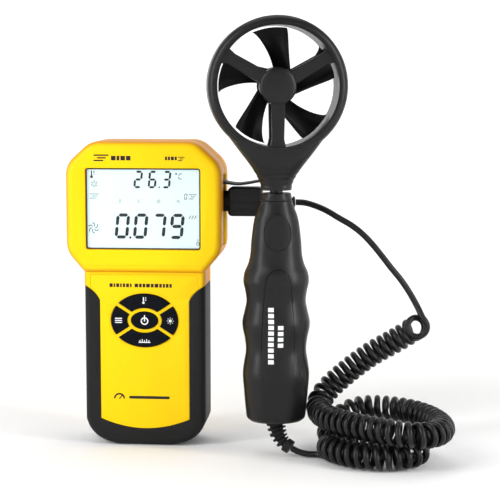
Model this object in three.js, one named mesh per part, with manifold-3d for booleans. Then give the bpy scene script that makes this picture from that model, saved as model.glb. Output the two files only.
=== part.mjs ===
// Handheld weather meter: a reading unit with a display and keypad, and a vane
// probe on a curly cord that plugs into the unit's side.
// Millimetres, +Z up. The reading unit stands upright on its base at the origin
// and faces -Y. The probe stands to its right and a little in front.
import * as THREE from "three";
import { mergeVertices } from "three/addons/utils/BufferGeometryUtils.js";
import Module from "manifold-3d";

const wasm = await Module();
wasm.setup();

// ---------------------------------------------------------------- dimensions
const GAP = 0.3; // clearance between pieces that touch
const HALF_GAP = GAP / 2;
const FAR = 400; // larger than the object, for cutting with half spaces

const HEAD = { halfWidth: 41.5, topHalf: 28, lowHalf: 32, top: 163.4, bottom: 93.8, shoulder: 151, hip: 105 };
const HEAD_FRONT = -18.5;
const HEAD_BACK = 19.5;
const HEAD_WALL = 2.5;
const HEAD_FACE_WALL = 3.5;
const BODY = { halfWidth: 32.5, baseHalf: 13.4, curveTop: 14, halfDepth: 15 };
const GRIP_SIDE = 2.0; // thickness of the rubber grip on the sides
const GRIP_FACE = 1.1; // thickness of the grip's lips on the front and back
const BODY_WALL = 2.0;
const PANEL = { half: 24, low: 14.5, sag: 10.4, high: 78.5, flareTop: 87.5, flareHalf: 34 };

const WINDOW = { half: 30.7, low: 106.2, high: 149.5, ledge: 1.4 };
const SLOT = { low: 107.5, high: 145.7, half: 7 };
const SOCKET_Z = 131;
const JACK_Z = 114.5;
const SCREWS = [[29.4, 156], [-29.4, 156], [22.5, 26], [-22.5, 26]];
const SCREW_SINK = 3.2;
const BATTERY = { half: 13.25, low: 16.5, high: 62.5, front: -6.2, back: 11 };
const DOOR = { half: 18.7, low: 14.6, high: 70.4, front: 13.5 };

const PAD = { z: 68, outerX: 17.9, outerZ: 14.3, innerX: 9.5, innerZ: 6.9, powerX: 7.15, powerZ: 4.6 };
const PAD_SPLIT = 36; // degrees from level at which the keypad's webs run
const PAD_WEB = 2.4; // width of the webs between the keys
const KEY_PROUD = 0.8;
const KEY_FLANGE = { front: -11.3, back: -10.8 };
const MEMBRANE = { front: -10.1, back: -8.7 }; // far enough behind the keys for their 0.5 mm of travel
const BOARD = { front: -8.4, back: -6.8 };

const PROBE = { x: 71.3, y: -30, yaw: 8.5 };
const RING = { z: 192.5, outer: 35.6, inner: 30.8, halfDepth: 13 };
const NECK = { bottom: 139.3, half: 7 };
const HANDLE = { bottom: 19, top: 133.8, flat: 0.84, wall: 2.3, hollowTop: 118, screws: [32, 104] };
const COLLAR = { low: 134.1, high: 137.8, radius: 7 };
const STEM_R = 3.3;
const HUB_R = 9.7;
const BLADES = 5;
const BLADE_TIP = 30.2;
const BLADE_PITCH = 36;
const STRUTS = [30, 150, 270];
const STRUT_WIDTH = 6.2;

const CORD_D = 3.3;
const CURL_D = 13.6;

// Routes of the cord's centre line.
const UPPER_LEAD = [
  [79.7, 0, 130.6], [84, 0, 130.4], [88.5, -1, 129.4], [95.5, -3, 126.8], [103, -5, 122.7],
  [109.9, -6, 118.8], [115.4, -7, 114.6], [120.6, -8, 109.4], [125.3, -9, 103.8], [130.4, -10, 97.4],
  [136, -10, 90.6], [140.4, -10.6, 84.2], [144.4, -12.6, 77.4], [147.4, -15.4, 71.6],
];
const CURL = [
  [144.2, -11, 65.6], [136.6, -10, 60.2], [129, -10, 55.8], [120.8, -10, 51], [113.2, -10, 45.4],
  [105.3, -10, 38.8], [98.6, -10.6, 32.6], [94, -14.5, 27], [93.4, -22.4, 22.9], [97.2, -32.6, 21.6],
  [105, -43, 21.2], [115, -52, 21], [126, -59, 20.8], [136.5, -63.5, 20.2], [146.5, -62.5, 19.4],
  [154, -54.5, 18.8], [157.3, -42, 18.4], [155.4, -28, 18.4], [149.6, -15, 18.8], [140.6, -5, 19.2],
  [130, 0.4, 19.4], [119, 2.4, 19.2], [109.5, 1, 17.4], [102, -3.6, 12], [98.4, -10.8, 7.8],
  [100.2, -19, 7], [107, -25.6, 7], [117, -28.6, 7], [128, -30, 7], [138.4, -32.6, 7],
  [144.6, -40.2, 7], [143.4, -50.4, 7], [134.4, -57, 7], [122.6, -58, 7], [111.6, -53.8, 7],
  [103.4, -46.4, 7], [98, -37.6, 7],
];
// Where the curl is split into its rise, upper turn and lower turn, as shares of its length.
const CURL_SPLITS = [0, 0.17, 0.59, 1];
const LOWER_LEAD = [
  [97, -35.6, 2.2], [93.2, -34.2, 1.8], [88.4, -34.2, 1.9], [83.6, -34.1, 2.9], [79.8, -33.4, 4.5],
];
const BOOT_ROUTE = [
  [71.3, -30, 23.6], [71.3, -30, 20], [71.4, -30.1, 16.4], [72.6, -30.7, 11.8], [75.2, -31.9, 7.6],
  [79.2, -33.2, 4.9],
];

// ----------------------------------------------------------------- materials
const colour = (hex, roughness, metalness = 0) => ({ color: hex, roughness, metalness });
const LOOKS = {
  yellow: colour(0xffd608, 0.42),
  rubber: colour(0x2b2b2b, 0.75),
  black: colour(0x1e1e20, 0.45),
  keys: colour(0x10131a, 0.5),
  lens: colour(0xe6f2f4, 0.08),
  lcd: colour(0xdcf2f6, 0.3),
  white: colour(0xf0f0ea, 0.5),
  board: colour(0x1c5a30, 0.5),
  chip: colour(0x151515, 0.4),
  steel: colour(0xb8bcc0, 0.3, 1),
  brass: colour(0xc8a040, 0.35, 1),
  battery: colour(0x3a4148, 0.4),
  cord: colour(0x121212, 0.35),
  red: colour(0xa81818, 0.5),
};

// ------------------------------------------------------------------- helpers
function solid(geometry) {
  const bare = (geometry.index ? geometry.toNonIndexed() : geometry.clone()).deleteAttribute("normal");
  bare.deleteAttribute("uv");
  const merged = mergeVertices(bare, 1e-3);
  const mesh = new wasm.Mesh({
    numProp: 3,
    vertProperties: merged.attributes.position.array,
    triVerts: new Uint32Array(merged.index.array),
  });
  return new wasm.Manifold(mesh);
}

function geometryOf(made) {
  const mesh = made.getMesh();
  const places = new Float32Array(mesh.numVert * 3);
  for (let i = 0; i < mesh.numVert; i++) {
    places.set(mesh.vertProperties.subarray(i * mesh.numProp, i * mesh.numProp + 3), i * 3);
  }
  const geometry = new THREE.BufferGeometry();
  geometry.setAttribute("position", new THREE.BufferAttribute(places, 3));
  geometry.setIndex(new THREE.BufferAttribute(mesh.triVerts, 1));
  geometry.computeVertexNormals();
  return geometry;
}

function join(...parts) {
  return parts.reduce((a, b) => a.add(b));
}

function cut(base, ...tools) {
  return tools.reduce((a, b) => a.subtract(b), base);
}

function piece(group, name, look, made) {
  const geometry = made.isBufferGeometry ? made : geometryOf(made);
  const mesh = new THREE.Mesh(geometry, new THREE.MeshStandardMaterial(LOOKS[look]));
  mesh.name = name;
  group.add(mesh);
  return mesh;
}

function box(x0, x1, y0, y1, z0, z1) {
  const geometry = new THREE.BoxGeometry(x1 - x0, y1 - y0, z1 - z0);
  geometry.translate((x0 + x1) / 2, (y0 + y1) / 2, (z0 + z1) / 2);
  return solid(geometry);
}

// An X-Z outline made solid from y0 (front) to y1 (back), its edges rounded by `round`.
function prism(shape, y0, y1, round = 0, steps = 2, curveSegments = 4) {
  const geometry = new THREE.ExtrudeGeometry(shape, {
    depth: y1 - y0 - 2 * round,
    curveSegments,
    bevelEnabled: round > 0,
    bevelThickness: round,
    bevelSize: round,
    bevelOffset: -round,
    bevelSegments: steps,
  });
  geometry.rotateX(Math.PI / 2);
  geometry.translate(0, y1 - round, 0);
  return solid(geometry);
}

// A closed outline through [x, z, radius] corners, each rounded by its radius.
function outline(corners) {
  const shape = new THREE.Shape();
  const count = corners.length;
  corners.forEach(([x, z, radius], i) => {
    const here = new THREE.Vector2(x, z);
    const before = new THREE.Vector2(...corners[(i + count - 1) % count]);
    const after = new THREE.Vector2(...corners[(i + 1) % count]);
    const toBefore = before.sub(here).normalize();
    const toAfter = after.sub(here).normalize();
    const reach = radius / Math.tan(Math.acos(toBefore.dot(toAfter)) / 2);
    const start = here.clone().addScaledVector(toBefore, reach);
    const end = here.clone().addScaledVector(toAfter, reach);
    if (i === 0) shape.moveTo(start.x, start.y);
    else shape.lineTo(start.x, start.y);
    if (radius > 0) shape.quadraticCurveTo(x, z, end.x, end.y);
  });
  shape.closePath();
  return shape;
}

// A right-hand half outline and its mirror image, as one closed outline.
function mirrored(half) {
  const left = half.map(([x, z, radius]) => [-x, z, radius]).reverse();
  return outline([...half, ...left]);
}

function rectangle(halfX, z0, z1, radius = 0) {
  return mirrored([[halfX, z0, radius], [halfX, z1, radius]]);
}

// A turned piece: [radius, height] points revolved about Z.
function turned(profile, sides = 20) {
  const geometry = new THREE.LatheGeometry(profile.map(([r, h]) => new THREE.Vector2(r, h)), sides);
  geometry.rotateX(Math.PI / 2);
  return geometry;
}

function discProfile(radius, low, high) {
  return [[0, low], [radius, low], [radius, high], [0, high]];
}

function ringProfile(inner, outer, low, high) {
  return [[inner, low], [outer, low], [outer, high], [inner, high], [inner, low]];
}

// The same turned piece with its axis along Y (height counts from front to back) or X.
function turnedY(profile, x, z, sides = 20) {
  return solid(turned(profile, sides).rotateX(-Math.PI / 2).translate(x, 0, z));
}

function turnedX(profile, z, sides = 16) {
  return solid(turned(profile, sides).rotateY(Math.PI / 2).translate(0, 0, z));
}

function ellipse(halfX, halfZ, z) {
  const shape = new THREE.Shape();
  shape.absellipse(0, z, halfX, halfZ, 0, 2 * Math.PI);
  return shape;
}

function curveThrough(points) {
  return new THREE.CatmullRomCurve3(points.map((p) => new THREE.Vector3(...p)), false, "centripetal");
}

// The stretch of a curve between two shares of its length.
class Stretch extends THREE.Curve {
  constructor(whole, from, to) {
    super();
    Object.assign(this, { whole, from, to });
  }

  getPoint(share, target = new THREE.Vector3()) {
    return this.whole.getPointAt(THREE.MathUtils.lerp(this.from, this.to, share), target);
  }
}

// A round tube of a given diameter along a curve.
function tube(curve, diameter, sides, steps) {
  const section = new THREE.Shape();
  for (let i = 0; i < sides; i++) {
    const angle = (2 * Math.PI * i) / sides;
    section[i ? "lineTo" : "moveTo"]((diameter / 2) * Math.cos(angle), (diameter / 2) * Math.sin(angle));
  }
  section.closePath();
  return solid(new THREE.ExtrudeGeometry(section, { steps, extrudePath: curve, bevelEnabled: false }));
}

// A turned piece bent so that its axis follows a route; heights in the profile run from 0 to 1.
function bent(profile, route, sides) {
  const curve = curveThrough(route);
  const geometry = turned(profile, sides);
  const places = geometry.attributes.position;
  const side = new THREE.Vector3(0, 1, 0);
  for (let i = 0; i < places.count; i++) {
    const along = THREE.MathUtils.clamp(places.getZ(i), 0, 1);
    const ahead = curve.getTangentAt(along);
    const across = new THREE.Vector3().crossVectors(side, ahead).normalize();
    const up = new THREE.Vector3().crossVectors(ahead, across);
    const at = curve.getPointAt(along);
    at.addScaledVector(across, places.getX(i)).addScaledVector(up, places.getY(i));
    places.setXYZ(i, at.x, at.y, at.z);
  }
  return geometry;
}

// ------------------------------------------------------------ reading unit
function headOutline(inset = 0, round = 13) {
  return mirrored([
    [HEAD.lowHalf - inset * 0.6, HEAD.bottom + inset, 4],
    [HEAD.halfWidth - inset, HEAD.hip + inset * 0.3, round],
    [HEAD.halfWidth - inset, HEAD.shoulder - inset * 0.3, round],
    [HEAD.topHalf - inset * 0.4, HEAD.top - inset, round],
  ]);
}

// The lower body's outline: upright sides that sweep in to a short flat base.
function bodyOutline(inset = 0) {
  const side = BODY.halfWidth - inset;
  const foot = BODY.baseHalf - inset * 0.35;
  const top = 112;
  const shape = new THREE.Shape();
  shape.moveTo(-foot, inset);
  shape.lineTo(foot, inset);
  shape.quadraticCurveTo(side - 3, inset + 1.2, side, BODY.curveTop + inset * 0.4);
  shape.lineTo(side, top);
  shape.lineTo(-side, top);
  shape.lineTo(-side, BODY.curveTop + inset * 0.4);
  shape.quadraticCurveTo(-side + 3, inset + 1.2, -foot, inset);
  return shape;
}

// The part of the front and back faces where the yellow shell shows between the grip's lips.
function panelOutline(inset = 0) {
  const half = PANEL.half - inset;
  const wide = PANEL.flareHalf;
  const shape = new THREE.Shape();
  shape.moveTo(-half, PANEL.low + inset);
  shape.quadraticCurveTo(0, PANEL.low - PANEL.sag + inset, half, PANEL.low + inset);
  shape.lineTo(half, PANEL.high + inset * 0.6);
  shape.quadraticCurveTo(half + 2, PANEL.flareTop - 3.5 + inset, wide, PANEL.flareTop + inset);
  shape.lineTo(wide, 104);
  shape.lineTo(-wide, 104);
  shape.lineTo(-wide, PANEL.flareTop + inset);
  shape.quadraticCurveTo(-half - 2, PANEL.flareTop - 3.5 + inset, -half, PANEL.high + inset * 0.6);
  shape.closePath();
  return shape;
}

function bodyBlock(inset, faceInset, round) {
  return prism(bodyOutline(inset), -BODY.halfDepth + faceInset, BODY.halfDepth - faceInset, round);
}

function keySector(centre, grow = 0) {
  const shape = new THREE.Shape();
  const steps = 5;
  const web = PAD_WEB / 2 - grow;
  const point = (halfX, halfZ, degrees) => {
    const angle = THREE.MathUtils.degToRad(degrees);
    return [halfX * Math.cos(angle), PAD.z + halfZ * Math.sin(angle)];
  };
  const level = centre % 180 === 0;
  const spread = level ? PAD_SPLIT : 90 - PAD_SPLIT;
  const arc = (growth, halfX, halfZ, from, to) => {
    const list = [];
    for (let i = 0; i <= steps; i++) {
      list.push(point(halfX + growth, halfZ + growth, centre + from + ((to - from) * i) / steps));
    }
    return list;
  };
  const outerTrim = THREE.MathUtils.radToDeg(web / ((PAD.outerX + PAD.outerZ) / 2));
  const innerTrim = THREE.MathUtils.radToDeg(web / ((PAD.innerX + PAD.innerZ) / 2));
  const outer = arc(grow, PAD.outerX, PAD.outerZ, -spread + outerTrim, spread - outerTrim);
  const inner = arc(-grow, PAD.innerX, PAD.innerZ, spread - innerTrim, -spread + innerTrim);
  [...outer, ...inner].forEach(([x, z], i) => shape[i ? "lineTo" : "moveTo"](x, z));
  shape.closePath();
  return shape;
}

const KEYS = [
  ["button_right", 0],
  ["button_top", 90],
  ["button_left", 180],
  ["button_bottom", 270],
];

function keyHoles() {
  const front = -BODY.halfDepth - 1;
  const back = -BODY.halfDepth + 5;
  const holes = KEYS.map(([, centre]) => prism(keySector(centre, GAP), front, back));
  const power = prism(ellipse(PAD.powerX + GAP, PAD.powerZ + GAP, PAD.z), front, back);
  return join(power, ...holes);
}

function housingBlock() {
  const head = prism(headOutline(), HEAD_FRONT, HEAD_BACK, 3, 2);
  const core = bodyBlock(GRIP_SIDE + GAP, GRIP_FACE + GAP, 1.5);
  const face = bodyBlock(0, 0, 2.5).intersect(prism(panelOutline(HALF_GAP), -FAR, FAR));
  const hollowHead = prism(headOutline(HEAD_WALL, 7), HEAD_FRONT + HEAD_FACE_WALL, HEAD_BACK - 3);
  const inner = BODY.halfDepth - GRIP_FACE - GAP - BODY_WALL;
  const hollowBody = prism(bodyOutline(GRIP_SIDE + GAP + BODY_WALL), -inner, inner);
  const slot = box(30, 60, -SLOT.half, SLOT.half, SLOT.low, SLOT.high);
  return cut(join(head, core, face), join(hollowHead, hollowBody), slot);
}

function frontHousing(block) {
  const half = block.intersect(box(-FAR, FAR, -FAR, -HALF_GAP, -FAR, FAR));
  const root = (z) => (z > HEAD.bottom ? -16 : -12.5);
  const bosses = SCREWS.map(([x, z]) => turnedY(discProfile(3.2, root(z), -HALF_GAP), x, z, 12));
  const pilots = SCREWS.map(([x, z]) => turnedY(discProfile(1.6, -10, 5), x, z, 12));
  const sight = prism(rectangle(WINDOW.half, WINDOW.low, WINDOW.high, 2), HEAD_FRONT - 1, HEAD_FRONT + 2.2);
  const ledge = WINDOW.ledge;
  const through = rectangle(WINDOW.half - ledge, WINDOW.low + ledge, WINDOW.high - ledge);
  const behind = prism(through, HEAD_FRONT - 1, HEAD_FRONT + 5);
  return cut(join(half, ...bosses), ...pilots, sight, behind, keyHoles());
}

function rearHousing(block) {
  const half = block.intersect(box(-FAR, FAR, HALF_GAP, FAR, -FAR, FAR));
  const back = (z) => (z > HEAD.bottom ? HEAD_BACK : BODY.halfDepth);
  const bosses = SCREWS.map(([x, z]) => turnedY(discProfile(3.6, HALF_GAP, back(z) - 1.8), x, z, 12));
  const holes = SCREWS.map(([x, z]) => {
    const deep = back(z) - SCREW_SINK;
    const out = back(z) + 1;
    return turnedY([[0, -1], [1.6, -1], [1.6, deep], [2.9, deep], [2.9, out], [0, out]], x, z, 12);
  });
  const seat = rectangle(DOOR.half + GAP, DOOR.low - GAP, DOOR.high + GAP, 2);
  const doorSeat = prism(seat, DOOR.front - GAP, 30);
  const bay = prism(rectangle(15.2, DOOR.low + 1.6, DOOR.high - 1.8), 5, 30);
  return cut(join(half, ...bosses), ...holes, doorSeat, bay);
}

function gripOvermould() {
  const sleeve = bodyBlock(0, 0, 2.5).intersect(box(-FAR, FAR, -FAR, FAR, -1, PANEL.flareTop + 1));
  const core = bodyBlock(GRIP_SIDE, GRIP_FACE, 1.5);
  const open = prism(panelOutline(-HALF_GAP), -FAR, FAR);
  return cut(sleeve, core, open);
}

function caseScrew(group, name, [x, z]) {
  const back = z > HEAD.bottom ? HEAD_BACK : BODY.halfDepth;
  const head = back - SCREW_SINK + GAP;
  const top = head + 1.8;
  const profile = [[0, -9.6], [1.3, -9.0], [1.3, head], [2.5, head], [2.5, top - 0.6], [1.7, top], [0, top]];
  piece(group, name, "steel", turnedY(profile, x, z, 10));
}

function battery(group) {
  const { half, low, high, front, back } = BATTERY;
  const block = prism(rectangle(half, low, high, 1.5), front, back);
  const middle = (front + back) / 2;
  const post = (x, radius) => {
    const stud = turned(discProfile(radius, high - 1, high + 2), 10);
    return solid(stud.translate(x, middle, 0));
  };
  piece(group, "battery_9v", "battery", join(block, post(-6.4, 2.7), post(6.4, 3.4)));
  const cap = box(-12.6, 12.6, middle - 6.5, middle + 6.5, high + 2 + GAP, high + 5.2);
  piece(group, "battery_clip", "chip", cap);
  const run = (x) => [
    [x, middle, high + 5.5], [x, middle - 1, high + 12], [x - 4, middle - 4, high + 20],
    [x - 5, -5.2, high + 30],
  ];
  piece(group, "battery_lead_red", "red", tube(curveThrough(run(2.5)), 1.3, 6, 6));
  piece(group, "battery_lead_black", "chip", tube(curveThrough(run(-2.5)), 1.3, 6, 6));
}

function display(group) {
  const glass = rectangle(WINDOW.half - GAP, WINDOW.low + GAP, WINDOW.high - GAP, 1.8);
  piece(group, "lcd_window", "lens", prism(glass, HEAD_FRONT + 0.5, HEAD_FRONT + 1.9));
  const stack = (name, look, grow, y0, y1) => {
    const shape = rectangle(WINDOW.half + grow, WINDOW.low - grow, WINDOW.high + grow);
    piece(group, name, look, prism(shape, y0, y1));
  };
  stack("lcd_panel", "lcd", 0.8, -14.7, -12.3);
  stack("lcd_backlight", "white", 0.8, -12, -9.6);
  const frameOuter = prism(rectangle(WINDOW.half + 2.8, WINDOW.low - 2.8, WINDOW.high + 2.8), -14.7, -9.6);
  const frameInner = prism(rectangle(WINDOW.half + 1.1, WINDOW.low - 1.1, WINDOW.high + 1.1), -20, -5);
  piece(group, "lcd_holder", "chip", cut(frameOuter, frameInner));
}

function electronics(group) {
  const board = mirrored([
    [27, 42, 0], [27, 99, 0], [35, 103, 0], [35, 150, 0], [25.5, 150, 0], [25.5, 158, 0],
  ]);
  const mat = prism(rectangle(21, PAD.z - 17, PAD.z + 17, 3), MEMBRANE.front, MEMBRANE.back);
  const behind = BOARD.back + GAP;
  piece(group, "main_board", "board", prism(board, BOARD.front, BOARD.back));
  piece(group, "keypad_membrane", "chip", mat);
  piece(group, "controller_chip", "chip", box(-6, 6, behind, behind + 1.4, 112, 124));
  piece(group, "buzzer", "chip", turnedY(discProfile(6, behind, -1), -22, 118, 14));
}

function sidePorts(group) {
  const plate = box(37, 38.7, -9, 9, SLOT.low - 0.7, SLOT.high + 0.7);
  const socketHole = turnedX(discProfile(5.7, 30, 45), SOCKET_Z, 16);
  const jackHole = turnedX(discProfile(3.1, 30, 45), JACK_Z, 12);
  piece(group, "port_panel", "chip", cut(plate, socketHole, jackHole));
  const socket = [[0, 25], [5.4, 25], [5.4, 38.4], [4.3, 38.4], [4.3, 28.5], [0, 28.5]];
  piece(group, "sensor_socket", "chip", turnedX(socket, SOCKET_Z, 16));
  const jack = [[0, 27], [2.8, 27], [2.8, 38.4], [1.8, 38.4], [1.8, 29], [0, 29]];
  piece(group, "power_jack", "brass", turnedX(jack, JACK_Z, 12));
}

// A thin rubber tongue, hinged in the slot's top, that lies open along the top of the plug.
function portCover(group) {
  const middle = [
    [39.7, 142], [42.6, 141.1], [48.6, 140.3], [54, 140.8], [60, 141.9], [68, 143.1], [77.5, 144],
  ];
  const half = (i) => (i === 0 ? 1.2 : 0.65);
  const upper = middle.map(([x, z], i) => [x, z + half(i), 0]);
  const lower = middle.map(([x, z], i) => [x, z - half(i), 0]).reverse();
  const width = SLOT.half - 0.5;
  piece(group, "port_cover", "rubber", prism(outline([...lower, ...upper]), -width, width));
}

function readingUnit() {
  const group = new THREE.Group();
  const block = housingBlock();
  piece(group, "front_housing", "yellow", frontHousing(block));
  piece(group, "rear_housing", "yellow", rearHousing(block));
  piece(group, "grip_overmould", "rubber", gripOvermould());
  const door = prism(rectangle(DOOR.half, DOOR.low, DOOR.high, 2), DOOR.front, BODY.halfDepth - 0.1);
  const ribs = [0, 1, 2, 3].map((i) => box(-8, 8, BODY.halfDepth - 0.6, 20, 56 + i * 2.4, 57.2 + i * 2.4));
  piece(group, "battery_door", "yellow", cut(door, ...ribs));
  SCREWS.forEach((place, i) => caseScrew(group, `case_screw_${i + 1}`, place));
  display(group);
  electronics(group);
  battery(group);
  sidePorts(group);
  return group;
}

function keypad() {
  const group = new THREE.Group();
  const front = -BODY.halfDepth - KEY_PROUD;
  KEYS.forEach(([name, centre]) => {
    const cap = prism(keySector(centre), front, KEY_FLANGE.back, 0.3, 1);
    piece(group, name, "keys", cap);
  });
  const cap = prism(ellipse(PAD.powerX, PAD.powerZ, PAD.z), front, KEY_FLANGE.front, 0.3, 1);
  const rim = ellipse(PAD.powerX + 0.9, PAD.powerZ + 0.9, PAD.z);
  const flange = prism(rim, KEY_FLANGE.front - HALF_GAP, KEY_FLANGE.back);
  piece(group, "button_power", "keys", join(cap, flange));
  return group;
}

// ------------------------------------------------------------ plug and cord
function plugAndCord() {
  const group = new THREE.Group();
  const corners = [[43.7, 123.2], [62, 123.2], [62, 138.7], [43.7, 138.7]].map(([x, z]) => [x, z, 2.6]);
  const block = prism(outline(corners), -6, 6, 1.5);
  const nose = turnedX(discProfile(5.6, 39.2, 46), SOCKET_Z, 16);
  const bore = turnedX(discProfile(4.2, 30, 50), SOCKET_Z, 16);
  piece(group, "plug_shell", "black", cut(join(block, nose), bore));
  piece(group, "plug_sleeve", "steel", turnedX(ringProfile(3.2, 3.9, 29.5, 49.5), SOCKET_Z, 16));
  piece(group, "plug_insert", "chip", turnedX(discProfile(2.8, 31.5, 49.5), SOCKET_Z, 12));
  const boot = [[0, 62.3], [5, 62.3], [4.4, 68], [3.2, 76], [2.6, 79.4], [0, 79.4]];
  piece(group, "plug_boot", "black", turnedX(boot, 130.6, 14));
  piece(group, "upper_lead", "cord", tube(curveThrough(UPPER_LEAD), CORD_D, 8, 16));
  const curl = curveThrough(CURL);
  const seam = HALF_GAP / curl.getLength();
  [["curl_rise", 9], ["curl_upper", 22], ["curl_lower", 22]].forEach(([name, steps], i) => {
    const from = i === 0 ? 0 : CURL_SPLITS[i] + seam;
    const to = i === 2 ? 1 : CURL_SPLITS[i + 1] - seam;
    piece(group, name, "cord", tube(new Stretch(curl, from, to), CURL_D, 10, steps));
  });
  piece(group, "lower_lead", "cord", tube(curveThrough(LOWER_LEAD), CORD_D, 8, 5));
  return group;
}

// -------------------------------------------------------------------- probe
const GRIP_PROFILE = [
  [13, 19], [15, 20.2], [15.7, 24], [16.7, 35], [17.3, 44], [16.6, 50], [15.7, 56], [16.2, 62], [17.4, 68],
  [17.5, 71.5], [16.4, 76.5], [15.4, 82], [16, 87], [17, 92], [16.5, 96.5], [14.6, 101], [13.5, 105.5],
  [12.9, 113], [11.2, 125], [9.4, 130], [8, 133.8],
];

// The handle's outer form, grown or shrunk by `grow`: turned, then flattened front to back.
function handleForm(grow, low, high, every = 1) {
  const rows = GRIP_PROFILE.filter(([, z], i) => z > low + 0.5 && z < high - 0.5 && i % every === 0);
  const radiusAt = (z) => {
    const i = Math.max(1, GRIP_PROFILE.findIndex((row) => row[1] >= z));
    const [r0, z0] = GRIP_PROFILE[i - 1];
    const [r1, z1] = GRIP_PROFILE[i];
    return r0 + ((r1 - r0) * (z - z0)) / (z1 - z0);
  };
  const rowsAll = [[radiusAt(low), low], ...rows, [radiusAt(high), high]];
  const profile = [[0, low], ...rowsAll.map(([r, z]) => [r + grow, z]), [0, high]];
  return solid(turned(profile, 20).scale(1, HANDLE.flat, 1));
}

// An egg-shaped opening for the thumb pad, and the arched panel below it.
function thumbOutline(grow) {
  return ellipse(6.8 + grow, 9.2 + grow, 118.2);
}

function inlayOutline(grow) {
  const shape = new THREE.Shape();
  shape.moveTo(-7.4 - grow, 40 - grow);
  shape.quadraticCurveTo(0, 35 - grow, 7.4 + grow, 40 - grow);
  shape.quadraticCurveTo(9.6 + grow, 62, 6.4 + grow, 92);
  shape.quadraticCurveTo(5.6 + grow, 99 + grow, 0, 99.4 + grow);
  shape.quadraticCurveTo(-5.6 - grow, 99 + grow, -6.4 - grow, 92);
  shape.quadraticCurveTo(-9.6 - grow, 62, -7.4 - grow, 40 - grow);
  return shape;
}

function handle(group) {
  const whole = handleForm(0, HANDLE.bottom, HANDLE.top);
  const hollow = handleForm(-HANDLE.wall, HANDLE.bottom + 2.5, HANDLE.hollowTop, 3);
  const stemBore = solid(turned(discProfile(STEM_R + GAP, 110, 140), 14));
  const bootHole = solid(turned(discProfile(5, 10, HANDLE.bottom + 4), 14));
  const boss = (z) => turnedY(discProfile(3, -13, 13), 0, z, 12).intersect(handleForm(-1, 20, 133));
  const thread = (z) => turnedY([[0, -9], [1.5, -9], [1.5, 8.4], [2.7, 8.4], [2.7, 20], [0, 20]], 0, z, 12);
  const bossed = join(cut(whole, hollow), ...HANDLE.screws.map(boss));
  const shell = cut(bossed, stemBore, bootHole, ...HANDLE.screws.map(thread));
  const sunk = (shape) => prism(shape, -30, -4).subtract(handleForm(-1.3, 22, 132));
  const inlaid = (shape, proud) => {
    const outer = handleForm(proud, 22, 132).intersect(prism(shape, -30, -5));
    return outer.subtract(handleForm(-1, 22.2, 131.8));
  };
  const front = shell.intersect(box(-FAR, FAR, -FAR, -HALF_GAP, -FAR, FAR));
  piece(group, "handle_front", "black", cut(front, sunk(thumbOutline(GAP)), sunk(inlayOutline(GAP))));
  piece(group, "handle_rear", "black", shell.intersect(box(-FAR, FAR, HALF_GAP, FAR, -FAR, FAR)));
  piece(group, "thumb_pad", "rubber", inlaid(thumbOutline(0), 0.5));
  piece(group, "grip_inlay", "black", inlaid(inlayOutline(0), 0));
  HANDLE.screws.forEach((z, i) => {
    const profile = [[0, -8.4], [1.2, -8.4], [1.2, 8.7], [2.4, 8.7], [2.4, 10], [0, 10]];
    piece(group, `handle_screw_${i + 1}`, "steel", turnedY(profile, 0, z, 12));
  });
  const collar = ringProfile(STEM_R + GAP, COLLAR.radius, COLLAR.low, COLLAR.high);
  piece(group, "handle_collar", "black", solid(turned(collar, 20)));
  piece(group, "signal_board", "board", box(-7, 7, -0.8, 0.8, 52, 92));
  piece(group, "cord_clamp", "chip", box(-6, 6, -4, 4, 24.6, 28.4));
}

function bootPiece() {
  const profile = [
    [0, 0], [6.4, 0], [6.4, 0.055], [4.7, 0.06], [4.7, 0.3], [4.5, 0.45],
    [4.1, 0.6], [3.6, 0.75], [3.1, 0.9], [2.9, 1], [0, 1],
  ];
  return bent(profile, BOOT_ROUTE, 12);
}

function headSilhouette() {
  const tangent = 26; // degrees below level where the ring meets the funnel
  const slope = [[20, 160.7], [13.8, 152.5], [9.9, 146.8], [7.6, 142.4], [NECK.half, NECK.bottom]];
  const shape = new THREE.Shape();
  const start = THREE.MathUtils.degToRad(-tangent);
  slope.slice().reverse().forEach(([x, z], i) => shape[i ? "lineTo" : "moveTo"](x, z));
  shape.absarc(0, RING.z, RING.outer, start, Math.PI - start, false);
  slope.forEach(([x, z]) => shape.lineTo(-x, z));
  shape.closePath();
  return shape;
}

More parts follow.
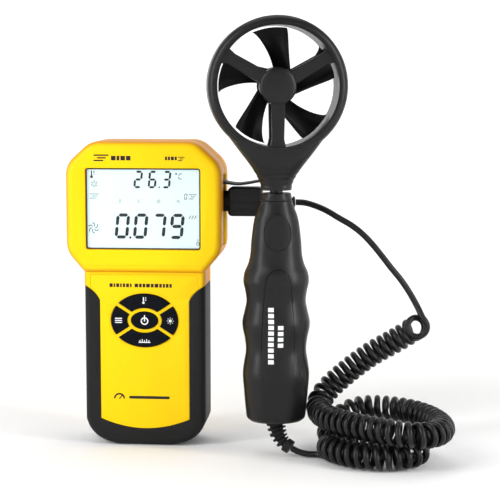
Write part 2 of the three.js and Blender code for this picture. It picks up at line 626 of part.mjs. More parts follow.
function headHalf(side) {
  const body = prism(headSilhouette(), -RING.halfDepth, RING.halfDepth, 2.4, 2, 14);
  const deep = RING.halfDepth;
  const rearEdge = [[7, 130], [7, 143], [8.6, 148], [deep, 168], [deep, 240]];
  const frontEdge = rearEdge.map(([y, z]) => [-y, z]).reverse();
  const sideShape = new THREE.Shape([...frontEdge, ...rearEdge].map(([y, z]) => new THREE.Vector2(y, z)));
  const across = new THREE.ExtrudeGeometry(sideShape, { depth: 120, bevelEnabled: false });
  across.rotateX(Math.PI / 2).rotateZ(Math.PI / 2).translate(-60, 0, 0);
  const duct = turnedY(discProfile(RING.inner, -FAR, FAR), 0, RING.z, 40);
  const ring = cut(body.intersect(solid(across)), duct);
  const near = side < 0 ? -11.6 : 8;
  const struts = STRUTS.map((angle) => {
    const bar = new THREE.BoxGeometry(RING.inner + 1.6 - 6, 3.6, STRUT_WIDTH);
    bar.translate((RING.inner + 1.6 + 6) / 2, near + 1.8, 0);
    bar.rotateY(-THREE.MathUtils.degToRad(angle)).translate(0, 0, RING.z);
    return solid(bar);
  });
  const hub = side < 0
    ? [[0, -12.9], [4, -12.6], [7.4, -11.4], [9.2, -9.4], [HUB_R, -7], [0, -7]]
    : [[0, 7], [HUB_R, 7], [9.4, 9.6], [7.6, 11.4], [4, 12.4], [0, 12.6]];
  const pocket = side < 0
    ? [[0, -9.5], [3.3, -9.5], [3.3, -6], [0, -6]]
    : [[0, 6], [3.3, 6], [3.3, 9.5], [0, 9.5]];
  const half = side < 0
    ? box(-FAR, FAR, -FAR, -HALF_GAP, -FAR, FAR)
    : box(-FAR, FAR, HALF_GAP, FAR, -FAR, FAR);
  const stemBore = solid(turned(discProfile(STEM_R + GAP, 130, 152.3), 14));
  const split = cut(ring, stemBore).intersect(half);
  return cut(join(split, ...struts, turnedY(hub, 0, RING.z, 20)), turnedY(pocket, 0, RING.z, 12));
}

function vaneHead() {
  const group = new THREE.Group();
  piece(group, "head_front", "black", headHalf(-1));
  piece(group, "head_rear", "black", cut(headHalf(1), box(-2.6, 2.6, 6, 8.8, RING.z - 9, RING.z - 4.6)));
  piece(group, "bearing_front", "steel", turnedY(ringProfile(1.3, 3, -9.2, -7.2), 0, RING.z, 12));
  piece(group, "bearing_rear", "steel", turnedY(ringProfile(1.3, 3, 7.2, 9.2), 0, RING.z, 12));
  piece(group, "speed_pickup", "chip", box(-2.2, 2.2, 6.9, 8.4, RING.z - 8.6, RING.z - 5));
  const stem = [
    [0, 113.6], [5.4, 113.6], [5.4, 117.6], [STEM_R, 117.6], [STEM_R, 152], [0, 152],
  ];
  piece(group, "swivel_stem", "black", solid(turned(stem, 14)));
  return group;
}

function impeller() {
  const group = new THREE.Group();
  const blade = (turn) => {
    const shape = new THREE.Shape();
    shape.moveTo(-3.2, 6);
    shape.quadraticCurveTo(-4.6, 21, -13.4, 30.4);
    shape.lineTo(0, 34);
    shape.lineTo(9.4, 30);
    shape.lineTo(5.2, 6);
    shape.closePath();
    const geometry = new THREE.ExtrudeGeometry(shape, { depth: 1, curveSegments: 5, bevelEnabled: false });
    geometry.rotateX(Math.PI / 2).translate(0, 0.5, 0);
    geometry.rotateZ(-THREE.MathUtils.degToRad(BLADE_PITCH));
    geometry.rotateY(-THREE.MathUtils.degToRad(turn)).translate(0, 0, RING.z);
    return solid(geometry);
  };
  const blades = [];
  for (let i = 0; i < BLADES; i++) blades.push(blade(8 + (360 / BLADES) * i));
  const sweep = turnedY(discProfile(BLADE_TIP, -6.4, 6.4), 0, RING.z, 60);
  const hub = turnedY([[0, -6], [7.6, -6], [8.6, -5], [8.6, 4], [0, 4]], 0, RING.z, 20);
  const bore = turnedY(discProfile(1.3, -20, 20), 0, RING.z, 12);
  piece(group, "impeller_rotor", "black", cut(join(hub, ...blades).intersect(sweep), bore));
  piece(group, "impeller_shaft", "steel", turnedY(discProfile(1, -9.1, 9.1), 0, RING.z, 10));
  piece(group, "rotor_magnet", "steel", turnedY(ringProfile(1.3, 6.6, 4.3, 5.9), 0, RING.z, 16));
  return group;
}

function probe() {
  const group = new THREE.Group();
  handle(group);
  group.add(vaneHead(), impeller());
  group.position.set(PROBE.x, PROBE.y, 0);
  group.rotation.z = THREE.MathUtils.degToRad(PROBE.yaw);
  return group;
}

// ----------------------------------------------------------------- assembly
const meter = new THREE.Group();
meter.add(readingUnit(), keypad(), plugAndCord(), probe());
const trim = new THREE.Group();
portCover(trim);
piece(trim, "strain_relief", "rubber", bootPiece());
meter.add(trim);

export default meter;
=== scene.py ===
# Handheld weather meter: the visible model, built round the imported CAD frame.
from math import atan2, copysign, cos, degrees, pi, radians, sin, tan
from operator import mul
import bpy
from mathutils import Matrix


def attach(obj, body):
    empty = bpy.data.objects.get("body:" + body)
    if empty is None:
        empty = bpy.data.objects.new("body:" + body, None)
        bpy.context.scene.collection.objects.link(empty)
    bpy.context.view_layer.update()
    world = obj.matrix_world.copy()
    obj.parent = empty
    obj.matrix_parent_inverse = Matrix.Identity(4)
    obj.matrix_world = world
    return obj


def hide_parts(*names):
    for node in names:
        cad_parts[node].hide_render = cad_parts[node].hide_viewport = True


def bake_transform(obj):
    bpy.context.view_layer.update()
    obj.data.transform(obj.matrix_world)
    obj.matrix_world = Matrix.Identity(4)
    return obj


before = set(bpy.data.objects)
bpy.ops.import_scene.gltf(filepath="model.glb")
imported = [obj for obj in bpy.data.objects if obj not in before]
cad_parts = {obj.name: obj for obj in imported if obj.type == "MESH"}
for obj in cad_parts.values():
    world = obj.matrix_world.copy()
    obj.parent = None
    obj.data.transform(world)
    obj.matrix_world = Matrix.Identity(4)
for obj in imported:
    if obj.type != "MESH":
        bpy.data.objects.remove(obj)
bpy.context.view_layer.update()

from types import SimpleNamespace as Sizes

import bmesh
import bpy
from mathutils import Matrix, Vector

MM = 0.001  # shapes are written in millimetres and made in metres
FAR = 300  # past every part of the object


# --- plain shapes
def add_mesh(name, points, faces):
    """A new object from points in millimetres, its faces turned outwards."""
    mesh = bpy.data.meshes.new(name)
    mesh.from_pydata([Vector(p) * MM for p in points], [], faces)
    work = bmesh.new()
    work.from_mesh(mesh)
    bmesh.ops.recalc_face_normals(work, faces=work.faces)
    work.to_mesh(mesh)
    work.free()
    obj = bpy.data.objects.new(name, mesh)
    bpy.context.collection.objects.link(obj)
    return obj


def settle(obj):
    """Applies the object's modifiers to its mesh."""
    depsgraph = bpy.context.evaluated_depsgraph_get()
    mesh = bpy.data.meshes.new_from_object(obj.evaluated_get(depsgraph))
    obj.modifiers.clear()
    old, obj.data = obj.data, mesh
    bpy.data.meshes.remove(old)
    return obj


def combine(base, how, *tools):
    """Joins tools to a solid, cuts them from it or keeps what they share, and uses the tools up."""
    for tool in tools:
        step = base.modifiers.new("combine", "BOOLEAN")
        step.operation, step.solver, step.object = how, "MANIFOLD", tool
    settle(base)
    for tool in tools:
        bpy.data.objects.remove(tool, do_unlink=True)
    return base


def join(base, *tools):
    return combine(base, "UNION", *tools)


def cut(base, *tools):
    return combine(base, "DIFFERENCE", *tools)


def keep(base, *tools):
    return combine(base, "INTERSECT", *tools)


def copy_of(obj):
    twin = obj.copy()
    twin.data = obj.data.copy()
    bpy.context.collection.objects.link(twin)
    return twin


def loft(sections, name="loft"):
    """A closed solid through rings of points, each ring with the same number of points."""
    count = len(sections[0])
    points = [p for ring in sections for p in ring]
    faces = [tuple(range(count)), tuple(range(len(points) - count, len(points)))]
    for row in range(len(sections) - 1):
        for k in range(count):
            a, b = row * count + k, row * count + (k + 1) % count
            faces.append((a, b, b + count, a + count))
    return add_mesh(name, points, faces)


def inset(outline, distance):
    """A closed counter-clockwise outline moved inwards by a distance."""
    moved = []
    for i, point in enumerate(outline):
        here, before = Vector(point), Vector(outline[i - 1])
        after = Vector(outline[(i + 1) % len(outline)])
        a, b = (here - before).normalized(), (after - here).normalized()
        a, b = Vector((-a.y, a.x)), Vector((-b.y, b.x))
        moved.append(here + (a + b) / max(1 + a.dot(b), 0.4) * distance)
    return moved


def prism(outline, front, back, round_front=0.0, round_back=None, steps=5):
    """An X-Z outline made solid from y = front to y = back, with its edges rounded."""
    round_back = round_front if round_back is None else round_back
    levels = []
    for end, radius, sign in ((front, round_front, 1), (back, round_back, -1)):
        rim = []
        for i in range(steps + 1 if radius else 1):
            angle = pi / 2 * i / steps if radius else pi / 2
            rim.append((end + sign * radius * (1 - cos(angle)), radius * (1 - sin(angle))))
        levels.extend(rim if sign > 0 else reversed(rim))
    return loft([[(x, y, z) for x, z in inset(outline, shrink)] for y, shrink in levels])


def block(x0=-FAR, x1=FAR, y0=-FAR, y1=FAR, z0=-FAR, z1=FAR):
    """A box, as long as it can be in each direction that is not given."""
    return prism([(x0, z0), (x1, z0), (x1, z1), (x0, z1)], y0, y1)


def bezier(a, control, b, steps=8):
    """Points on the quadratic curve from a to b, without a itself."""
    curve = []
    for i in range(1, steps + 1):
        t = i / steps
        shares = (1 - t) ** 2, 2 * t * (1 - t), t * t
        curve.append(tuple(sum(map(mul, shares, along)) for along in zip(a, control, b)))
    return curve


def rounded(corners, steps=8):
    """A closed outline through (x, z, radius) corners."""
    outline = []
    for i, (x, z, radius) in enumerate(corners):
        here = Vector((x, z))
        to_before = (Vector(corners[i - 1][:2]) - here).normalized()
        to_after = (Vector(corners[(i + 1) % len(corners)][:2]) - here).normalized()
        if radius <= 0:
            outline.append((x, z))
            continue
        reach = radius / tan(to_before.angle(to_after) / 2)
        start, end = here + to_before * reach, here + to_after * reach
        outline.append(tuple(start))
        outline.extend(bezier(tuple(start), (x, z), tuple(end), steps))
    return outline


def mirrored(half, steps=8):
    """A right-hand half outline, given upwards, and its mirror image."""
    return rounded([*half, *((-x, z, radius) for x, z, radius in reversed(half))], steps)


def both_sides(right):
    """A right-hand half outline, as points given upwards, and its mirror image."""
    return right + [(-x, z) for x, z in reversed(right)]


def rectangle(half, low, high, radius=0.0, steps=6):
    return mirrored([(half, low, radius), (half, high, radius)], steps)


def ellipse(half_x, half_z, x, z, sides=48):
    angles = (2 * pi * k / sides for k in range(sides))
    return [(x + half_x * cos(a), z + half_z * sin(a)) for a in angles]


def turned(profile, sides=48, about="Z", at=(0, 0, 0)):
    """A turned solid from (radius, height) points that end on the axis or close on themselves."""
    place = {
        "Z": lambda c, s, h: (c, s, h),
        "Y": lambda c, s, h: (c, h, s),
        "X": lambda c, s, h: (h, c, s),
    }[about]
    closed = profile[0] == profile[-1]
    rows = profile[:-1] if closed else profile
    points, rings = [], []
    for radius, height in rows:
        if radius < 1e-6:
            rings.append([len(points)] * sides)
            points.append(Vector(place(0, 0, height)) + Vector(at))
            continue
        rings.append([len(points) + k for k in range(sides)])
        for k in range(sides):
            angle = 2 * pi * k / sides
            points.append(Vector(place(radius * cos(angle), radius * sin(angle), height)) + Vector(at))
    faces = []
    for i in range(len(rings) if closed else len(rings) - 1):
        a, b = rings[i], rings[(i + 1) % len(rings)]
        for k in range(sides):
            n = (k + 1) % sides
            corners = [a[k], a[n], b[n], b[k]]
            face = tuple(c for j, c in enumerate(corners) if c != corners[j - 1])
            if len(face) > 2:
                faces.append(face)
    return add_mesh("turned", points, faces)


def disc(radius, low, high):
    return [(0, low), (radius, low), (radius, high), (0, high)]


def ring(inner, outer, low, high):
    return [(inner, low), (outer, low), (outer, high), (inner, high), (inner, low)]


def soften(obj, width, segments=2, angle=30):
    """Rounds the edges that are sharper than an angle."""
    step = obj.modifiers.new("soften", "BEVEL")
    step.width, step.segments = width * MM, segments
    step.limit_method, step.angle_limit = "ANGLE", radians(angle)
    step.use_clamp_overlap = True
    return settle(obj)


def finish(obj, name, body, slot, replaces=(), sharp=30, material=None, edge=0.0):
    """Rounds and shades a piece, names it, gives it its material and ties it to its body."""
    if edge:
        soften(obj, edge)
    work = bmesh.new()
    work.from_mesh(obj.data)
    bmesh.ops.remove_doubles(work, verts=work.verts, dist=0.002 * MM)
    bmesh.ops.dissolve_degenerate(work, edges=work.edges, dist=0.001 * MM)
    bmesh.ops.recalc_face_normals(work, faces=work.faces)
    work.to_mesh(obj.data)
    work.free()
    obj.name = obj.data.name = name
    obj.data.shade_smooth()
    obj.data.set_sharp_from_angle(angle=radians(sharp))
    obj.data.materials.clear()
    obj.data.materials.append(material or MATERIALS[slot])
    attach(obj, body)
    if replaces:
        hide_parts(*replaces)
    return obj


# --- camera and room
def make_camera():
    """The camera stands a little to the right of the meter and above its middle."""
    azimuth, elevation, distance = radians(4.8), radians(6.5), 800
    target = Vector((56.7, -18, 106.7)) * MM
    level = cos(elevation)
    towards = Vector((level * sin(azimuth), -level * cos(azimuth), sin(elevation)))
    data = bpy.data.cameras.new("camera")
    data.sensor_width = 36
    data.lens = 109.6
    camera = bpy.data.objects.new("camera", data)
    camera.location = target + towards * distance * MM
    camera.rotation_euler = towards.to_track_quat("Z", "Y").to_euler()
    bpy.context.collection.objects.link(camera)
    bpy.context.scene.camera = camera


def feed(tree, shader, inputs):
    """Gives each named input its value, or links it to the output that it follows."""
    for name, value in inputs.items():
        if isinstance(value, bpy.types.NodeSocket):
            tree.links.new(value, shader.inputs[name])
        else:
            shader.inputs[name].default_value = value


def add_node(tree, kind, inputs, output, **settings):
    """A shader node with its settings and inputs. Returns one of its outputs."""
    made = tree.nodes.new(f"ShaderNode{kind}")
    for name, value in settings.items():
        setattr(made, name, value)
    feed(tree, made, inputs)
    return made.outputs[output]


def fade(tree, value, start, stop, full=1.0):
    """Rises smoothly from 0 to `full` as a value goes from `start` to `stop`."""
    inputs = {"Value": value, "From Min": start, "From Max": stop, "To Max": full}
    return add_node(tree, "MapRange", inputs, "Result", interpolation_type="SMOOTHSTEP")


def make_light(name, place, size, power):
    """A softbox that faces the middle of the object. Places and sizes in metres, power in watts."""
    data = bpy.data.lights.new(name, "AREA")
    data.shape = "RECTANGLE"
    data.size, data.size_y = size
    data.energy = power
    light = bpy.data.objects.new(name, data)
    light.location = place
    middle = Vector((0.05, 0, 0.1))
    light.rotation_euler = (Vector(place) - middle).to_track_quat("Z", "Y").to_euler()
    bpy.context.collection.objects.link(light)


def make_room():
    """A white sweep all round that glows towards the horizon, with softboxes and two tall strips."""
    radius, rise, corner, steps = 2200, 2400, 900, 10
    turns = [pi / 2 * i / steps for i in range(steps + 1)]
    bend = [(radius - corner * (1 - sin(a)), corner * (1 - cos(a))) for a in turns]
    under = 0.2  # the floor lies this far under the lowest point
    room = turned([(r, h - under) for r, h in [(0, 0), *bend, (radius, rise)]], 64)
    room.name = "room"
    room.data.shade_smooth()
    white = bpy.data.materials.new("room_white")
    white.use_nodes = True
    tree = white.node_tree
    place = add_node(tree, "TexCoord", {}, "Object")
    reach = add_node(tree, "VectorMath", {0: place}, "Value", operation="LENGTH")
    height = add_node(tree, "SeparateXYZ", {"Vector": place}, "Z")
    shares = {0: fade(tree, reach, 0.15, 0.9, 0.36), 1: fade(tree, height, 1.3, 0.5)}
    feed(tree, tree.nodes["Principled BSDF"], {
        "Base Color": (0.92, 0.92, 0.92, 1),
        "Roughness": 0.9,
        "Emission Color": (1, 1, 1, 1),
        "Emission Strength": add_node(tree, "Math", shares, "Value", operation="MULTIPLY"),
    })
    room.data.materials.append(white)
    make_light("key_light", (-0.75, -0.9, 1.1), (0.7, 0.7), 5)
    make_light("fill_light", (1.0, -0.6, 0.6), (0.5, 0.9), 2)
    make_light("top_light", (0.0, 0.2, 1.3), (1.0, 0.8), 4)
    make_light("left_strip", (-0.70, -0.50, 0.35), (0.10, 0.8), 3.5)
    make_light("right_strip", (0.84, -0.36, 0.35), (0.10, 0.8), 3.5)
    world = bpy.data.worlds.new("studio")
    world.use_nodes = True
    sky = {"Color": (1, 1, 1, 1), "Strength": 0.35}
    feed(world.node_tree, world.node_tree.nodes["Background"], sky)
    bpy.context.scene.world = world
    bpy.context.scene.view_settings.view_transform = "Standard"


make_camera()
make_room()


# --- the cord
CORD_D = 3.3
CURL_D = 13.6
# how far apart the turns are: (share of the curl, pitch)
CURL_PITCHES = [(0, 3.9), (0.17, 3.9), (0.26, 4.5), (0.5, 4.8), (0.7, 4.6), (1, 4.5)]
TURN_POINTS = 16
UPPER_LEAD = [
    (79.7, 0, 130.6), (84, 0, 130.4), (88.5, -1, 129.4), (95.5, -3, 126.8), (103, -5, 122.7),
    (109.9, -6, 118.8), (115.4, -7, 114.6), (120.6, -8, 109.4), (125.3, -9, 103.8), (130.4, -10, 97.4),
    (136, -10, 90.6), (140.4, -10.6, 84.2), (144.4, -12.6, 77.4), (147.4, -15.4, 71.6),
]
# the first turns face forwards, before the curl falls away to the left
FIRST_TURNS = [(144.7, -17.2, 66.8), (144.6, -14.2, 66.4)]
CURL = [
    (144.2, -11, 65.6), (136.6, -10, 60.2), (129, -10, 55.8), (120.8, -10, 51), (113.2, -10, 45.4),
    (105.3, -10, 38.8), (98.6, -10.6, 32.6), (94, -14.5, 27), (93.4, -22.4, 22.9), (97.2, -32.6, 21.6),
    (105, -43, 21.2), (115, -52, 21), (126, -59, 20.8), (136.5, -63.5, 20.2), (146.5, -62.5, 19.4),
    (154, -54.5, 18.8), (157.3, -42, 18.4), (155.4, -28, 18.4), (149.6, -15, 18.8), (140.6, -5, 19.2),
    (130, 0.4, 19.4), (119, 2.4, 19.2), (109.5, 1, 17.4), (102, -3.6, 12), (98.4, -10.8, 7.8),
    (100.2, -19, 7), (107, -25.6, 7), (117, -28.6, 7), (128, -30, 7), (138.4, -32.6, 7),
    (144.6, -40.2, 7), (143.4, -50.4, 7), (134.4, -57, 7), (122.6, -58, 7), (111.6, -53.8, 7),
    (103.4, -46.4, 7), (98, -37.6, 7),
]
LOWER_LEAD = [
    (97, -35.6, 2.2), (93.2, -34.2, 1.8), (88.4, -34.2, 1.9), (83.6, -34.1, 2.9), (79.8, -33.4, 4.5),
]


def spline(points, step):
    """Points about `step` apart along the centripetal Catmull-Rom curve through the given points."""
    points = [Vector(p) for p in points]
    ends = [2 * points[0] - points[1], *points, 2 * points[-1] - points[-2]]
    dense = []
    for i in range(1, len(ends) - 2):
        p0, p1, p2, p3 = ends[i - 1: i + 3]
        d0, d1, d2 = (max((b - a).length, 1e-6) ** 0.5 for a, b in ((p0, p1), (p1, p2), (p2, p3)))
        m1 = ((p1 - p0) / d0 - (p2 - p0) / (d0 + d1) + (p2 - p1) / d1) * d1
        m2 = ((p2 - p1) / d1 - (p3 - p1) / (d1 + d2) + (p3 - p2) / d2) * d1
        count = max(2, round((p2 - p1).length / step * 4))
        for k in range(count):
            t = k / count
            dense.append(
                p1 * (2 * t**3 - 3 * t**2 + 1) + m1 * (t**3 - 2 * t**2 + t)
                + p2 * (3 * t**2 - 2 * t**3) + m2 * (t**3 - t**2)
            )
    dense.append(points[-1])
    return evenly(dense, step)


def evenly(points, step):
    """The same line with its points at even distances, as near `step` as its length allows."""
    lengths = [0.0]
    for a, b in zip(points, points[1:]):
        lengths.append(lengths[-1] + (b - a).length)
    count = max(2, round(lengths[-1] / step))
    spaced, i = [], 0
    for k in range(count + 1):
        want = lengths[-1] * k / count
        while i < len(points) - 2 and lengths[i + 1] < want:
            i += 1
        share = (want - lengths[i]) / max(lengths[i + 1] - lengths[i], 1e-9)
        spaced.append(points[i].lerp(points[i + 1], share))
    return spaced


def directions(points):
    """The direction of travel at each point."""
    last = len(points) - 1
    return [(points[min(i + 1, last)] - points[max(i - 1, 0)]).normalized() for i in range(last + 1)]


def smoothstep(t):
    t = min(max(t, 0.0), 1.0)
    return t * t * (3 - 2 * t)


def between(table, share):
    """The value at `share` in a table of (share, value) pairs, in a straight line from pair to pair."""
    for (a, low), (b, high) in zip(table, table[1:]):
        if share <= b:
            return low + (high - low) * (share - a) / (b - a)
    return table[-1][1]


def eased(points, step, reach):
    """The line with sharp bends eased: each point becomes the average of those near it."""
    half = round(reach / step)
    last = len(points) - 1
    eased_points = []
    for i in range(last + 1):
        width = min(half, i, last - i)
        near = points[i - width: i + width + 1]
        eased_points.append(sum(near, Vector()) / len(near))
    return evenly(eased_points, step)


def helix(route, first_axis, last_axis, first_side, last_side):
    """A curl round a route. Its end turns face the given axes, and its ends lie on the given sides."""
    step = 0.4
    lean = 11.0  # the length of curl over which an end turn comes round to the route's own direction
    radius = (CURL_D - CORD_D) / 2
    centre = eased(spline(route, step), step, 5.0)
    heading = directions(centre)
    reach = 12
    count = len(centre)
    axes, pitches = [], []
    for i in range(count):
        near, far = heading[max(i - reach, 0)], heading[min(i + reach, count - 1)]
        span = (min(i + reach, count - 1) - max(i - reach, 0)) * step
        bend = span / max(near.angle(far), 1e-4)
        crowd = bend / max(bend - radius, 5.0)
        pitches.append(max(between(CURL_PITCHES, i / (count - 1)), CORD_D * crowd))
        start, stop = i * step, (count - 1 - i) * step
        axis = first_axis.lerp(heading[i], smoothstep(start / lean))
        axis = last_axis.lerp(axis, smoothstep(stop / lean))
        axes.append(axis.normalized())
    side = (first_side - axes[0] * first_side.dot(axes[0])).normalized()
    phases, sides = [0.0], [side]
    for i in range(1, count):
        side = (side - axes[i] * side.dot(axes[i])).normalized()
        sides.append(side)
        phases.append(phases[-1] + 2 * pi * step / ((pitches[i - 1] + pitches[i]) / 2))
    last_side = (last_side - axes[-1] * last_side.dot(axes[-1])).normalized()
    across = axes[-1].cross(sides[-1])
    wanted = atan2(last_side.dot(across), last_side.dot(sides[-1]))
    turns = round((phases[-1] - wanted) / (2 * pi))
    stretch = (wanted + 2 * pi * turns) / phases[-1]
    coil = []
    samples = round(turns * TURN_POINTS)
    i = 0
    for k in range(samples + 1):
        phase = phases[-1] * k / samples
        while i < count - 2 and phases[i + 1] < phase:
            i += 1
        share = (phase - phases[i]) / max(phases[i + 1] - phases[i], 1e-9)
        middle = centre[i].lerp(centre[i + 1], share)
        axis = axes[i].lerp(axes[i + 1], share).normalized()
        level = sides[i].lerp(sides[i + 1], share)
        level = (level - axis * level.dot(axis)).normalized()
        angle = phase * stretch
        coil.append(middle + (level * cos(angle) + axis.cross(level) * sin(angle)) * radius)
    return coil


def around(at, side, up, radius, sides):
    """A ring of points in the plane of two directions."""
    angles = (2 * pi * k / sides for k in range(sides))
    return [at + (side * cos(a) + up * sin(a)) * radius for a in angles]


def tube(name, path, radius, sides):
    """A round tube along a path, closed at both ends."""
    heading = directions(path)
    side = heading[0].orthogonal().normalized()
    rings = []
    for at, ahead in zip(path, heading):
        side = (side - ahead * side.dot(ahead)).normalized()
        rings.append(around(at, side, ahead.cross(side), radius, sides))
    obj = loft(rings, name)
    obj.data.shade_smooth()
    return obj


def make_cord():
    axes = Vector((-0.2, 1, -0.1)), Vector((0.35, 0.94, 0))
    sides = Vector((0.89, 0, 0.45)), Vector((0, 0, -1))
    coil = helix(FIRST_TURNS + CURL, *axes, *sides)
    path = spline([*UPPER_LEAD, *coil, *LOWER_LEAD[1:]], 0.75)
    path.reverse()
    cord = tube("cord", path, CORD_D / 2, 10)
    length = sum((b - a).length for a, b in zip(path, path[1:])) * MM
    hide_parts("upper_lead", "curl_rise", "curl_upper", "curl_lower", "lower_lead")
    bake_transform(cord)
    return cord, [tuple(p * MM) for p in path], round(length, 3)


cord, cord_path, cord_length = make_cord()


# --- materials
MATERIALS = {}  # every finish by its name


def material(name, colour, roughness, *, grain=0.35, height=0.02, mottle=0.06, specular=0.5, metallic=0.0,
             painted_side_shade=None, alpha=1.0, glow=0.0, streaks=None):
    """A moulded, cast or drawn finish. Sizes in mm: `grain` is the size of its texture, `height` its depth.

    `mottle` is how much its colour and gloss wander, `painted_side_shade` is painted shade: the darker colour
    that faces looking sideways are tinted with, and `streaks` stretches the texture along one axis."""
    made = bpy.data.materials.new(name)
    made.use_nodes = True
    tree = made.node_tree
    where = add_node(tree, "TexCoord", {}, "Object")
    if streaks:
        where = add_node(tree, "Mapping", {"Scale": streaks, "Vector": where}, "Vector")

    def noise(size, detail):
        inputs = {"Scale": 1 / (size * MM), "Detail": detail, "Vector": where}
        return add_node(tree, "TexNoise", inputs, "Fac")

    low, high = 1 - mottle, 1 + mottle
    dark, light = ((*(min(c * share, 1) for c in colour), 1) for share in (low, high))
    mix = {"A": dark, "B": light, "Factor": noise(14, 3)}
    tint = add_node(tree, "Mix", mix, "Result", data_type="RGBA")
    # painted shade: faces that turn sideways, away from the front, are tinted towards a darker colour as if
    # in shade
    if painted_side_shade:
        normal = add_node(tree, "NewGeometry", {}, "Normal")
        facing = add_node(tree, "SeparateXYZ", {"Vector": normal}, "Y")
        level = add_node(tree, "Math", {0: facing}, "Value", operation="ABSOLUTE")
        mix = {"A": tint, "B": (*painted_side_shade, 1), "Factor": fade(tree, level, 0.985, 0.5)}
        tint = add_node(tree, "Mix", mix, "Result", data_type="RGBA")
    gloss = {"To Min": roughness * low, "To Max": roughness * high, "Value": noise(5, 4)}
    bump = {"Strength": 0.5, "Distance": height * MM, "Height": noise(grain, 2)}
    feed(tree, tree.nodes["Principled BSDF"], {
        "Base Color": tint,
        "Roughness": add_node(tree, "MapRange", gloss, "Result"),
        "Normal": add_node(tree, "Bump", bump, "Normal"),
        "Specular IOR Level": specular,
        "Metallic": metallic,
        "Alpha": alpha,
        "Emission Color": (*colour, 1),
        "Emission Strength": glow,
    })
    MATERIALS[name] = made
    return made


YELLOW = (0.93, 0.6, 0.001)
# painted shade: the darker amber that the yellow shell is tinted with where its faces turn sideways
PAINTED_SHADE_AMBER = (0.74, 0.30, 0.003)
material("yellow_shell", YELLOW, 0.4, grain=0.5, height=0.012, specular=0.16, mottle=0.02,
         painted_side_shade=PAINTED_SHADE_AMBER)
material("grip_rubber", (0.012, 0.012, 0.0125), 0.5, grain=0.3, height=0.03, specular=0.14)
material("probe_plastic", (0.0045, 0.0045, 0.005), 0.34, grain=0.3, height=0.012, specular=0.27)
material("rotor_plastic", (0.0025, 0.0025, 0.003), 0.4, grain=0.6, height=0.006, specular=0.13)
material("key_plastic", (0.002, 0.003, 0.006), 0.42, grain=0.3, height=0.01, specular=0.08)
material("clear_lens", (0.5, 0.55, 0.57), 0.05, grain=4, height=0.001, mottle=0.02, alpha=0.03)
material("lcd_glass", (0.70, 0.85, 0.88), 0.35, grain=2, height=0.001, mottle=0.01,
         specular=0.2, glow=0.04)
material("white_plastic", (0.85, 0.85, 0.82), 0.45, grain=0.5)
material("black_plastic", (0.008, 0.008, 0.009), 0.4, grain=0.3, height=0.015, specular=0.18)
material("membrane_rubber", (0.05, 0.05, 0.055), 0.6, grain=0.4)
material("circuit_board", (0.012, 0.11, 0.03), 0.35, grain=1.2, height=0.03, mottle=0.25)
material("steel", (0.62, 0.63, 0.65), 0.28, grain=0.25, height=0.004, metallic=1.0, streaks=(1, 1, 6))
material("brass", (0.75, 0.52, 0.2), 0.3, grain=0.3, height=0.004, metallic=1.0)
material("battery_wrap", (0.045, 0.06, 0.08), 0.35, grain=0.5, height=0.01, mottle=0.15)
material("red_wire", (0.45, 0.015, 0.012), 0.4, grain=0.4)
material("cord_jacket", (0.005, 0.005, 0.0055), 0.28, grain=0.5, height=0.012, specular=0.3)
PRINT_BLACK = material("print_black", (0.008, 0.006, 0.006), 0.4, grain=0.3, height=0.004, specular=0.3)
PRINT_WHITE = material("print_white", (0.86, 0.87, 0.88), 0.45, grain=0.3, height=0.004, specular=0.3)
SEGMENT_BLACK = material("segment_black", (0.004, 0.006, 0.008), 0.4, grain=0.5, height=0.001, specular=0.1)
SEGMENT_GREY = material("segment_grey", (0.10, 0.14, 0.15), 0.4, grain=0.5, height=0.001, specular=0.1)

NODE_SLOTS = {
    "lcd_panel": "lcd_glass", "lcd_backlight": "white_plastic", "main_board": "circuit_board",
    "signal_board": "circuit_board", "keypad_membrane": "membrane_rubber", "battery_9v": "battery_wrap",
    "battery_lead_red": "red_wire", "power_jack": "brass", "plug_sleeve": "steel",
    "bearing_front": "steel", "bearing_rear": "steel", "impeller_shaft": "steel", "rotor_magnet": "steel",
    "swivel_stem": "probe_plastic",
}


def dress_carried_nodes():
    """Gives every CAD node its finish: the ones that keep their CAD shape show it."""
    for name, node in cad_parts.items():
        node.data.materials.clear()
        node.data.materials.append(MATERIALS[NODE_SLOTS.get(name, "black_plastic")])


dress_carried_nodes()
cord.data.materials.append(MATERIALS["cord_jacket"])


# --- reading unit
GAP = 0.3
HEAD = Sizes(half=41.5, top_half=28, low_half=32, top=163.4, bottom=93.8, shoulder=151, hip=105)
HEAD_FRONT, HEAD_BACK = -18.5, 19.5
BODY = Sizes(half=32.5, base_half=13.4, curve_top=14, depth=15)
GRIP_SIDE, GRIP_FACE = 2.0, 1.1
PANEL = Sizes(half=24, low=14.5, sag=10.4, high=78.5, flare_top=87.5, flare_half=34)
WINDOW = Sizes(half=30.7, low=106.2, high=149.5, ledge=1.4)
SLOT = Sizes(low=107.5, high=145.7, half=7)
SCREWS = [(29.4, 156), (-29.4, 156), (22.5, 26), (-22.5, 26)]
DOOR = Sizes(half=18.7, low=14.6, high=70.4, front=13.5)
PAD = Sizes(z=68, outer_x=17.9, outer_z=14.3, inner_x=9.5, inner_z=6.9, power_x=7.15, power_z=4.6)
PAD_SPLIT, PAD_WEB = 36, 2.4
KEY_FRONT, KEY_BACK = -15.8, -10.8


def head_outline(shrink=0.0, corner=13):
    return mirrored([
        (HEAD.low_half - shrink * 0.6, HEAD.bottom + shrink, 4),
        (HEAD.half - shrink, HEAD.hip + shrink * 0.3, corner),
        (HEAD.half - shrink, HEAD.shoulder - shrink * 0.3, corner),
        (HEAD.top_half - shrink * 0.4, HEAD.top - shrink, corner),
    ], 10)


